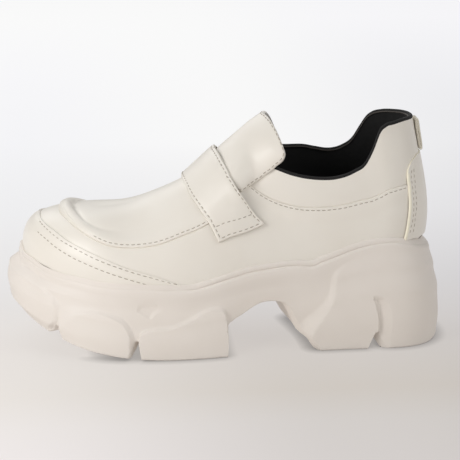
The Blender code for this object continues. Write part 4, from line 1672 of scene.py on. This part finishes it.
@dataclass(frozen=True)
class Mudguard(Part):
    """Overlay round the toe, sewn on with two rows."""

    panel: Panel = Panel("toe_mudguard", 1.0, 0.7)
    edge: Table = table_field("x t", [
        (-129, 0.545), (-126.1, 0.511), (-120.7, 0.469), (-115, 0.432), (-109.9, 0.396), (-105.1, 0.356),
        (-99.6, 0.319), (-94.1, 0.291), (-83.6, 0.249), (-75.1, 0.219), (-62.9, 0.173), (-51.9, 0.13),
        (-41.6, 0.087), (-32.5, 0.049), (-31.7, 0.046)])
    row_a: Table = table_field("x t", [
        (-129, 0.5), (-125.8, 0.474), (-122.9, 0.447), (-119.6, 0.42), (-116.5, 0.394), (-113.5, 0.37),
        (-110.1, 0.345), (-100.8, 0.289), (-93.1, 0.25), (-86.1, 0.22), (-82.2, 0.207), (-69.1, 0.171),
        (-54.4, 0.119), (-41.6, 0.074), (-33.2, 0.048)])
    row_b: Table = table_field("x t", [
        (-129, 0.375), (-124, 0.345), (-119.8, 0.316), (-114.5, 0.278), (-109.1, 0.239), (-103.4, 0.208),
        (-97.1, 0.177), (-91.1, 0.158), (-84.4, 0.139), (-76.3, 0.119), (-63.1, 0.083), (-54.6, 0.055),
        (-51.5, 0.045)])
    sewn: tuple = ((-125.5, -33.5), (-122.5, -52.5))
    last_station: float = -32.2
    foot: float = 0.02
    lift: float = 0.05
    sink: float = 0.06
    groove: tuple = (0.12, 0.6)
    edge_groove: float = 2.2
    open_edge: float = 9.0

    @staticmethod
    def around(last_station: float, count: int) -> tuple[Array, Array]:
        """Even steps round the toe, from the outer side to the inner side.

        Args:
            last_station: station where it ends on both sides.
            count: number of steps.

        Returns:
            Station and side of each.
        """
        station, side = LAST.loop(400)
        half = len(station) // 2
        outer = station[:half + 1]
        way = along_line(np.stack(LAST.feather(outer, -1.0), axis=-1))
        end = np.interp(last_station, outer, way)
        steps = np.linspace(-end, end, count)
        return np.interp(np.abs(steps), way, outer), np.where(steps <= 0, -1.0, 1.0)

    def build(self) -> list[bpy.types.Object]:
        """Build, sew and dress the overlay.

        Returns:
            Its pieces.
        """
        station, side = self.around(self.last_station, 241)
        top = follow(self.edge, "t", station)
        section = LAST.length(station, side)
        share = edge_steps(np.maximum((top - self.foot) * section, 0.3), self.panel.offsets, 16)
        t = self.foot + (top - self.foot) * share
        normal = LAST.outward(station[None], side[None], t)
        points = LAST.shell(station[None], side[None], t) + normal * self.lift
        distance = edge_distance(points)
        deep, width = self.groove
        from_edge = np.abs(t - top) * section
        from_row = np.abs(t - follow(self.row_b, "t", station)) * section
        channel = -deep * bump(from_row, 0, width) - deep * bump(from_edge, self.edge_groove, width)
        # its lower edge and its ends run in under the sole's lip at full thickness
        distance[..., 0] = distance[..., 2:] = self.open_edge
        solid = self.panel.solid(points, normal, distance, extra=channel)
        piece = solid.mesh(self.panel.name, self.palette.get(LEATHER), weld=0.004, sharp=60.0)
        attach(piece, "root")
        rows = []
        for line, (start, end) in zip((self.row_a, self.row_b), self.sewn):
            station, side = self.around(end, 600)
            t = follow(line, "t", station)
            normal, path = LAST.outward(station, side, t), LAST.shell(station, side, t)
            for part in (side < 0, side > 0):
                keep = part & (station > start)
                rows.append(stitched_line(path[keep], normal[keep], self.panel.thick - self.sink))
        return [piece, *self.stitching.sew("mudguard_stitches", rows, Stitch(pitch=3.9, length=1.9))]


@dataclass(frozen=True)
class SaddleStrap(Part):
    """Strap over the instep, from low on one side to low on the other."""

    panel: Panel = Panel("saddle_strap_band", 2.0, 0.8)
    lines: Table = table_field("up front front_t back back_t", [
        (0, -8.4, 0.246, 24.2, 0.366), (0.2, -13.7, 0.375, 12.6, 0.44), (0.4, -19, 0.5, 3.6, 0.503),
        (0.65, -25.5, 0.7, -1.9, 0.641), (0.82, -28, 0.85, -5.4, 0.795), (1, -29.5, 1, -8.4, 1)])
    stitch_in: float = 2.0
    second_row: float = 9.6
    sink: float = 0.12
    groove: tuple = (0.16, 0.14, 0.6)
    width: float = 38.0
    length: float = 118.0
    sag: float = 0.034
    lift: float = 0.1
    over_tongue: float = 2.3
    tongue_from: float = 0.88
    tongue_zone: tuple = (0.02, 0.40)

    def underside(self, across: Array, share: Array) -> tuple[Array, Array]:
        """Underside of the strap.

        Args:
            across: -1 outer end, 1 inner end.
            share: 0 front edge, 1 back edge.

        Returns:
            Points and normals.
        """
        side = np.where(across <= 0, -1.0, 1.0)
        up = 1 - np.abs(across)
        station = follow(self.lines, "front", up, "up") * (1 - share) \
            + follow(self.lines, "back", up, "up") * share
        t = follow(self.lines, "front_t", up, "up") * (1 - share) \
            + follow(self.lines, "back_t", up, "up") * share
        t = t - self.sag * 4 * share * (1 - share) * (1 - ease(up / 0.25))
        over = np.clip(share / self.tongue_from, 0, 1) * beyond(up, self.tongue_zone)
        lift = LAST.gap + self.lift + (Tongue.panel.thick + self.over_tongue) * over
        points = LAST.shell(station, side, t) + LAST.outward(station, side, t) * lift[..., None]
        return points, LAST.outward(station, side, t)

    def grid(self) -> tuple[Array, Array]:
        """Rows and columns of the strap, close together at its edges.

        Returns:
            across and share, by row (front to back) and column (outer to inner).
        """
        offsets = np.array(self.panel.offsets)
        share = edge_steps(np.array([self.width]), offsets, 14)
        near = offsets / self.length * 2
        second = -1 + (self.second_row + np.array([-0.8, -0.4, 0, 0.4, 0.8])) / self.length * 2
        middle = np.linspace(-1 + near[-1], 1 - near[-1], 90)[1:-1]
        across = np.unique(np.concatenate([-1 + near, middle, second, -second, 1 - near]))
        return np.broadcast_arrays(across[None], share)

    def build(self) -> list[bpy.types.Object]:
        """Build, sew and dress the strap.

        Returns:
            Its pieces.
        """
        across, share = self.grid()
        points, normal = self.underside(across, share)
        distance = edge_distance(points)
        nearest = distance.min(axis=-1)
        ends = distance[..., 2:].min(axis=-1)
        deep, shallow, width = self.groove
        channel = -deep * bump(nearest, self.stitch_in, width) - shallow * bump(ends, self.second_row, width)
        solid = self.panel.solid(points, normal, distance, extra=channel)
        piece = solid.mesh(self.panel.name, self.palette.get(LEATHER), sharp=60.0)
        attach(piece, "root")
        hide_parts("saddle_strap")
        return [piece, *self.sew(points, normal, distance)]

    def sew(self, points: Array, normal: Array, distance: Array) -> list[bpy.types.Object]:
        """Sew along the edges and across each end.

        Args:
            points: the strap's underside.
            normal: normals there.
            distance: distances from its edges.

        Returns:
            The stitches' pieces.
        """
        rows = []
        height = self.panel.thick - self.sink
        inside = distance[0, :, 2:].min(axis=-1) > self.stitch_in
        for edge in (0, 1):
            at = beside_edge(distance, edge, self.stitch_in)
            rows.append(stitched_line(points[at][inside], normal[at][inside], height))
        r, columns = (np.arange(count) for count in points.shape[:2])
        for edge, order in ((2, columns[:len(columns) // 3]), (3, columns[::-1][:len(columns) // 3])):
            for away in (self.stitch_in, self.second_row):
                spot = np.array([np.interp(away, distance[i, order, edge], order) for i in r])
                low = spot.astype(int)
                share = (spot - low)[:, None]
                place = points[r, low] * (1 - share) + points[r, low + 1] * share
                keep = distance[r, low, :2].min(axis=-1) > self.stitch_in - 0.1
                rows.append(stitched_line(place[keep], normal[r, low][keep], height))
        return self.stitching.sew("strap_stitches", rows, slot="saddle_strap")


@dataclass(frozen=True)
class Tongue(Part):
    """Padded tongue that stands up from under the strap."""

    panel: Panel = Panel("tongue_pad", 2.3, 1.8)
    lines: Table = table_field("along x z station t raise", [
        (0, -9, 116, -3.8, 0.57, 0), (0.18, -5.5, 118.4, 0, 0.535, 0), (0.35, 0.5, 123.8, 5.7, 0.525, 0),
        (0.5, 7, 129.4, 15.1, 0.612, 0), (0.65, 13, 134.6, 31.1, 0.787, 0),
        (0.8, 18, 138.9, 41.1, 0.922, 0.3), (0.92, 22, 142.2, 48.5, 1, 3.2), (1, 25, 144.8, 53.8, 1, 6.9)])
    corner: tuple = (0.15, 0.19)
    width: float = 45.0
    length: float = 62.0
    lift: float = 0.4
    throat_lean: float = -1.5
    padding: float = 0.9
    padding_reach: float = 14.0
    stitch_in: float = 1.7
    groove: tuple = (0.22, 0.6)
    sink: float = 0.12
    sewn_from: float = 0.3

    def underside(self, across: Array, along: Array) -> Array:
        """Underside of the tongue.

        Args:
            across: -1 outer edge, 1 inner edge.
            along: 0 under the strap, 1 at its free end.

        Returns:
            Points.
        """
        side = np.where(across <= 0, -1.0, 1.0)
        corner = np.clip((along - 1) / self.corner[0] + 1, 0, 1)
        t = 1 - np.abs(across) * (1 - self.corner[1] * (1 - np.sqrt(1 - corner ** 2)))
        cx, cz, station, level, rise = (follow(self.lines, name, along, "along")
                                        for name in ("x", "z", "station", "t", "raise"))
        edge = LAST.shell(station, side, level) + LAST.outward(station, side, level) * (LAST.gap + self.lift)
        ex, ey, ez = edge[..., 0], edge[..., 1], edge[..., 2] + rise
        return np.stack([bezier(ex, ex + 0.3 * (cx - ex), cx + 0.3 * (ex - cx), cx, t),
                         bezier(ey, ey, 0.56 * ey, self.throat_lean + 0 * ey, t),
                         bezier(ez, ez + 0.5 * (cz - ez), cz, cz, t)], axis=-1)

    def build(self) -> list[bpy.types.Object]:
        """Build, sew and dress the tongue.

        Returns:
            Its pieces.
        """
        offsets = np.array(self.panel.offsets)
        near, end = offsets / self.width, 1 - offsets / self.length
        middle = np.linspace(-1 + near[-1], 1 - near[-1], 60)[1:-1]
        across = np.concatenate([-1 + near, middle, (1 - near)[::-1]])
        along = np.concatenate([np.linspace(0, end[-1], 56)[:-1], end[::-1]])
        points = self.underside(across[None], along[:, None])
        forward, sideways = np.gradient(points, axis=0), np.gradient(points, axis=1)
        normal = unit(np.cross(sideways, forward))
        normal *= np.sign(normal[..., 2].sum())
        distance = edge_distance(points)
        nearest = distance[..., 1:].min(axis=-1)
        deep, width = self.groove
        soft = self.padding * ease(nearest / self.padding_reach)
        channel = soft - deep * bump(nearest, self.stitch_in, width)
        solid = self.panel.solid(points, normal, distance, extra=channel)
        piece = solid.mesh(self.panel.name, self.palette.get(LEATHER), sharp=60.0)
        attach(piece, "root")
        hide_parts("tongue")
        rows = []
        for edge, others in ((2, (1,)), (3, (1,)), (1, (2, 3))):
            at = beside_edge(distance, edge, self.stitch_in)
            keep = distance[at][:, others].min(axis=-1) > self.stitch_in
            if edge > 1:
                keep &= along > self.sewn_from
            rows.append(stitched_line(points[at][keep], normal[at][keep], self.panel.thick - self.sink))
        return [piece, *self.stitching.sew("tongue_stitches", rows, slot="tongue")]


@dataclass(frozen=True)
class HeelCounter(Part):
    """Overlay round the heel with a pale cut edge and two rows of stitches."""

    panel: Panel = Panel("heel_counter_overlay", 1.3, 0.5)
    front: Table = table_field("t station", [
        (0.045, 109.8), (0.07, 110), (0.17, 111), (0.337, 112.7), (0.451, 113.2), (0.566, 114),
        (0.625, 116.2), (0.665, 119.6), (0.685, 122.5), (0.707, 123.8)])
    rows: tuple = (3.2, 5.8)
    sewn: tuple = (0.06, 0.60)
    sink: float = 0.1
    groove: tuple = (0.15, 0.6)
    foot: float = 0.03
    top: float = 0.7
    section: float = 85.0
    arc: float = 62.0
    lift: float = 0.1
    bare_below: float = 0.56
    cut_edge: tuple = (1.5, 0.35)
    open_edge: float = 9.0

    def build(self) -> list[bpy.types.Object]:
        """Build, sew and dress the overlay.

        Returns:
            Its pieces.
        """
        offsets = np.array(self.panel.offsets)
        t = np.concatenate([np.linspace(self.foot, self.top, 46)[:-1],
                            self.top - (offsets[::-1] - offsets[0]) / self.section])
        t = np.unique(np.round(t, 5))
        front = follow(self.front, "station", t, "t")
        start = np.arccos(np.clip((front - LAST.heel + LAST.heel_cap) / LAST.heel_cap, -1, 1))
        near = offsets / self.arc
        across = np.unique(np.concatenate([-1 + near, np.linspace(-1, 1, 100), 1 - near]))
        station = LAST.heel - LAST.heel_cap + LAST.heel_cap * np.cos(start[:, None] * np.abs(across)[None])
        station, side, level = matched(station, np.where(across <= 0, -1.0, 1.0)[None], t[:, None])
        normal = LAST.outward(station, side, level)
        points = LAST.shell(station, side, level) + normal * (LAST.gap + self.lift)
        distance = edge_distance(points)
        side_edge = distance[..., 2:].min(axis=-1)
        deep, width = self.groove
        channel = -sum(deep * bump(side_edge, away, width) for away in self.rows)
        # its lower edge runs in under the sole's lip at full thickness
        distance[..., 0] = self.open_edge
        wide, narrow = self.cut_edge
        solid = self.panel.solid(points, normal, distance, extra=channel, edge_slot=1,
                                 edge_band=np.where(level[:-1, :-1] < self.bare_below, wide, narrow))
        piece = solid.mesh(self.panel.name, self.palette.get(LEATHER, CUT_EDGE), sharp=60.0)
        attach(piece, "root")
        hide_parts("heel_counter")
        rows = []
        keep = (t > self.sewn[0]) & (t < self.sewn[1])
        for edge in (2, 3):
            for away in self.rows:
                at = beside_edge(distance, edge, away)
                rows.append(stitched_line(points[at][keep], normal[at][keep], self.panel.thick - self.sink))
        return [piece, *self.stitching.sew("counter_stitches", rows, slot="heel_counter",
                                           stitch=Stitch(width=0.5, hole=0.28))]


@dataclass(frozen=True)
class CollarBinding(Part):
    """Black rolled edge round the opening, with a fine piping inside it."""

    roll: tuple = (1.45, 1.35)
    roll_at: tuple = (1.25, 0.0)
    pipe: tuple = (0.5, 0.5)
    pipe_at: tuple = (2.75, 0.15)
    sides: int = 14

    def line(self, inside: float, drop: float) -> tuple[Array, Array, Array]:
        """A line round the opening.

        Args:
            inside: distance inside the collar's outer surface.
            drop: distance below its top.

        Returns:
            Points, and unit vectors across and up.
        """
        station, side = LAST.loop(420)
        keep = station >= LAST.throat_station
        station, side = station[keep], side[keep]
        read_at, read_below, smoothing = 0.985, 0.96, 6
        out = LAST.outward(station, side, read_at)
        top = LAST.shell(station, side, 1)
        up = unit(top - LAST.shell(station, side, read_below))
        for _ in range(smoothing):
            out = unit(out + np.roll(out, 1, axis=0) + np.roll(out, -1, axis=0))
        return top - out * inside - up * drop, out, unit(np.cross(np.cross(out, up), out))

    def build(self) -> list[bpy.types.Object]:
        """Build and dress the binding and piping.

        Returns:
            The two pieces.
        """
        pieces = []
        for name, place, radii, finish in (("collar_binding", self.roll_at, self.roll, BINDING),
                                           ("collar_piping", self.pipe_at, self.pipe, PIPING)):
            path, out, up = self.line(*place)
            piece = tube(path, out, up, radii, self.sides).mesh(name, self.palette.get(finish))
            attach(piece, "root")
            pieces.append(piece)
        return pieces


@dataclass(frozen=True)
class PullLoop(Part):
    """Folded webbing loop at the back of the collar."""

    width: float = 11.0
    thick: float = 1.3
    middle: float = 130.9
    half: tuple = (0.74, 9.6)
    squareness: tuple = (0.6, 0.7)
    behind: float = 1.7
    ribs: tuple = (0.10, 7.5)
    edge: float = 0.5
    line: Table = table_field("z x", [
        (120.6, 123.6), (124, 123.1), (128.5, 122.3), (133, 121.5), (137, 120.9), (141, 120.4)])

    def build(self) -> list[bpy.types.Object]:
        """Build and dress the loop.

        Returns:
            Its piece.
        """
        turn = np.linspace(0, 2 * math.pi, 61)[:-1]
        depth, rise = (half * np.sign(wave) * np.abs(wave) ** square for half, wave, square in zip(
            self.half, (np.cos(turn), np.sin(turn)), self.squareness))
        z = self.middle + rise
        x = follow(self.line, "x", z, "z") + self.behind + depth
        path = np.stack([x, 0 * x, z], axis=-1)
        tangent = unit(np.roll(path, -1, axis=0) - np.roll(path, 1, axis=0))
        out = np.stack([-tangent[:, 2], 0 * x, tangent[:, 0]], axis=-1)
        out *= np.sign((out * (path - path.mean(axis=0))).sum())
        share = np.linspace(-1, 1, 45)
        height, count = self.ribs
        rib = height * np.abs(np.sin(share * math.pi * count)) * (1 - share ** 8)
        edge = rounded((1 - np.abs(share)) * self.width / 2 / self.edge)
        solid = Solid()
        for sign in (1, -1):
            rows = path[:, None] + out[:, None] * (sign * edge * (self.thick / 2) + sign * rib)[None, :, None]
            rows[..., 1] = share * self.width / 2
            solid.skin(solid.rows(np.concatenate([rows, rows[:1]])), flip=sign < 0)
        piece = solid.mesh("pull_loop_webbing", self.palette.get(WEBBING), weld=0.01)
        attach(piece, "root")
        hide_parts("pull_loop")
        return [piece]


# ----------------------------------------------------------------------------- studio
@dataclass(frozen=True)
class Lamp:
    """A soft rectangular light: where it is and points, its width and height, and its power in watts."""

    name: str
    place: tuple[float, float, float]
    aim: tuple[float, float, float]
    size: tuple[float, float]
    power: float


@dataclass(frozen=True)
class Studio:
    """Pale floor with painted light and shadow, soft lights and the camera, in metres and watts.

    Attributes:
        world: strength of the even light.
        floor_reach, painted_glow: half width of the floor, and the share of its tone that it gives off itself
            as painted light, which also lights the shoe.
        tone_x, tone_y, painted_light_tones: floor colours by place, a list along y for each x, that paint the
            light: lighter behind, darker to the right, with a faint painted shadow band just in front of the
            shoe.
        contact_shadow_reach, contact_shadow_tone: reach and tone of the painted contact shadow, a dark line
        on the floor where the sole stands.
    """

    camera: tuple = (-0.1055, -1.2056, 0.383)
    target: tuple = (0.0, 0.0, 0.07)
    lens: float = 152.14
    shift: tuple = (0.01065, -0.0030)
    world: float = 0.25
    lamps: tuple = (
        Lamp("Right window", (1.2, -0.7, 0.8), (0.0, 0.0, 0.05), (1.0, 1.0), 7.0),
        Lamp("Back window", (0.0, 1.6, 1.0), (0.0, 0.0, 0.05), (2.0, 1.2), 7.6),
        Lamp("Back left window", (-0.8, 1.2, 1.3), (0.0, 0.0, 0.05), (1.2, 1.2), 5.0),
        Lamp("Near left box", (-0.55, -0.45, 0.35), (-0.08, 0.0, 0.06), (0.4, 0.4), 3.0),
        Lamp("Low front box", (-0.30, -0.80, 0.20), (-0.08, 0.0, 0.06), (0.4, 0.3), 0.5),
        Lamp("Toe box", (-0.25, 0.1, 0.8), (-0.08, 0.0, 0.06), (0.5, 0.5), 0.5),
        Lamp("Top window", (0.0, 0.0, 1.8), (0.0, 0.0, 0.0), (1.5, 1.5), 1.2))
    floor_reach: float = 6.0
    painted_glow: float = 0.78
    tone_x: tuple = (-0.16, 0.06, 0.34)
    contact_shadow_reach: float = 0.008
    contact_shadow_tone: float = 0.35
    tone_y: tuple = (-0.26, -0.17, -0.115, -0.02, 0.12, 0.33, 0.6, 0.95, 1.4)
    # Painted light and shadow: the floor is lighter behind, darker to the right, and darker in a band just in
    # front of the shoe.
    painted_light_tones: tuple = (
        ((0.868, 0.820, 0.821), (0.844, 0.804, 0.782), (0.817, 0.776, 0.736), (0.802, 0.765, 0.735),
         (0.835, 0.820, 0.815), (0.901, 0.899, 0.909), (0.960, 0.960, 0.981), (0.980, 0.979, 0.997),
         (1.000, 1.000, 1.000)),
        ((0.681, 0.643, 0.627), (0.678, 0.643, 0.617), (0.656, 0.611, 0.564), (0.687, 0.651, 0.625),
         (0.755, 0.738, 0.741), (0.889, 0.884, 0.895), (1.000, 1.000, 1.000), (1.000, 1.000, 1.000),
         (1.000, 1.000, 1.000)),
        ((0.477, 0.448, 0.416), (0.490, 0.459, 0.435), (0.510, 0.479, 0.461), (0.576, 0.553, 0.550),
         (0.665, 0.650, 0.662), (0.786, 0.778, 0.796), (0.882, 0.880, 0.899), (0.927, 0.926, 0.949),
         (0.983, 0.979, 1.000)))

    def floor(self) -> bpy.types.Object:
        """Pale table top that glows with painted light; its colour holds painted light and shadow: lighter
        behind, darker to the right, darker just in front of the shoe and where the sole stands.

        Returns:
            The sheet.
        """
        reach = self.floor_reach / MM
        solid = Solid()
        solid.skin(solid.rows(np.array([[(x, y, 0.0) for x in (-reach, reach)] for y in (-reach, reach)])))
        material = bpy.data.materials.new("Glowing table top with painted light")
        material.use_nodes = True
        tree = material.node_tree
        place = add(tree, "ShaderNodeTexCoord").outputs["Object"]
        axes = add(tree, "ShaderNodeSeparateXYZ", {0: place})
        # Painted light: ramps along y, blended across x, make the floor lighter behind and darker to the
        # right.
        tone = None
        y0, y1 = self.tone_y[0], self.tone_y[-1]
        for number, colours in enumerate(self.painted_light_tones):
            share = add(tree, "ShaderNodeMapRange", {"Value": axes.outputs["Y"], "From Min": y0,
                                                     "From Max": y1})
            ramp = add(tree, "ShaderNodeValToRGB", {"Fac": share.outputs[0]})
            elements = ramp.color_ramp.elements
            while len(elements) < len(colours):
                elements.new(1.0)
            for element, at, colour in zip(elements, self.tone_y, colours):
                element.position, element.color = (at - y0) / (y1 - y0), (*colour, 1)
            if tone is None:
                tone = ramp.outputs["Color"]
                continue
            x0, x1 = self.tone_x[number - 1:number + 1]
            across = add(tree, "ShaderNodeMapRange", {"Value": axes.outputs["X"], "From Min": x0,
                                                      "From Max": x1}, interpolation_type="SMOOTHSTEP")
            tone = add(tree, "ShaderNodeMix", {0: across.outputs[0], 6: tone, 7: ramp.outputs["Color"]},
                       data_type="RGBA").outputs[2]
        # Painted contact shadow: the floor darkens where the sole stands near it, by ambient occlusion.
        contact_shadow_ao = add(tree, "ShaderNodeAmbientOcclusion", {"Distance": self.contact_shadow_reach})
        near = add(tree, "ShaderNodeMapRange", {"Value": contact_shadow_ao.outputs["AO"], "To Min": self.contact_shadow_tone})
        tone = add(tree, "ShaderNodeVectorMath", {0: tone, "Scale": near.outputs[0]},
                   operation="SCALE").outputs[0]
        # Painted glow: the floor gives off most of its own tone as light, which weakens the shoe's shadows.
        base = add(tree, "ShaderNodeVectorMath", {0: tone, 1: (1 - self.painted_glow,) * 3},
                   operation="MULTIPLY")
        feed(tree, tree.nodes["Principled BSDF"], {
            "Base Color": base.outputs[0], "Emission Color": tone, "Emission Strength": self.painted_glow,
            "Roughness": 0.9, "Specular IOR Level": 0.0})
        sheet = solid.mesh("studio_floor", [material], sharp=80.0)
        return sheet

    @staticmethod
    def light(lamp: Lamp) -> None:
        """Add a soft light.

        Args:
            lamp: its place, size and power.
        """
        data = bpy.data.lights.new(lamp.name, "AREA")
        data.shape = "RECTANGLE"
        data.size, data.size_y = lamp.size
        data.energy = lamp.power
        piece = bpy.data.objects.new(lamp.name, data)
        piece.location = lamp.place
        way = Vector(lamp.aim) - Vector(lamp.place)
        piece.rotation_euler = way.to_track_quat("-Z", "Y").to_euler()
        piece.visible_camera = False
        bpy.context.scene.collection.objects.link(piece)

    def build(self) -> None:
        """Build the floor, lights and camera."""
        scene = bpy.context.scene
        self.floor()
        world = bpy.data.worlds.new("Studio air")
        scene.world = world
        world.use_nodes = True
        air = world.node_tree
        feed(air, air.nodes["Background"], {"Color": (1.0, 1.0, 1.0, 1.0), "Strength": self.world})
        for lamp in self.lamps:
            self.light(lamp)
        data = bpy.data.cameras.new("Camera")
        data.lens, data.sensor_width = self.lens, 36.0
        data.shift_x, data.shift_y = self.shift
        camera = bpy.data.objects.new("Camera", data)
        camera.location = self.camera
        aim = Vector(self.target) - Vector(self.camera)
        camera.rotation_euler = aim.to_track_quat("-Z", "Y").to_euler()
        scene.collection.objects.link(camera)
        scene.camera = camera
        scene.view_settings.view_transform = "Standard"
        scene.view_settings.look = "None"


def report(piece: bpy.types.Object) -> None:
    """Log a finished piece.

    Args:
        piece: the piece.
    """
    faces = sum(len(p.vertices) - 2 for p in piece.data.polygons)
    LOG.info("%-24s %7d triangles", piece.name, faces)


def main() -> None:
    """Build every piece in order."""
    palette = Palette()
    stitching = Stitching(palette)
    for part in (Sole, Insole, Upper, Mudguard, Tongue, SaddleStrap, HeelCounter, CollarBinding, PullLoop):
        for piece in part(palette, stitching).build():
            report(piece)
    Studio().build()


if __name__ == "__main__":
    main()
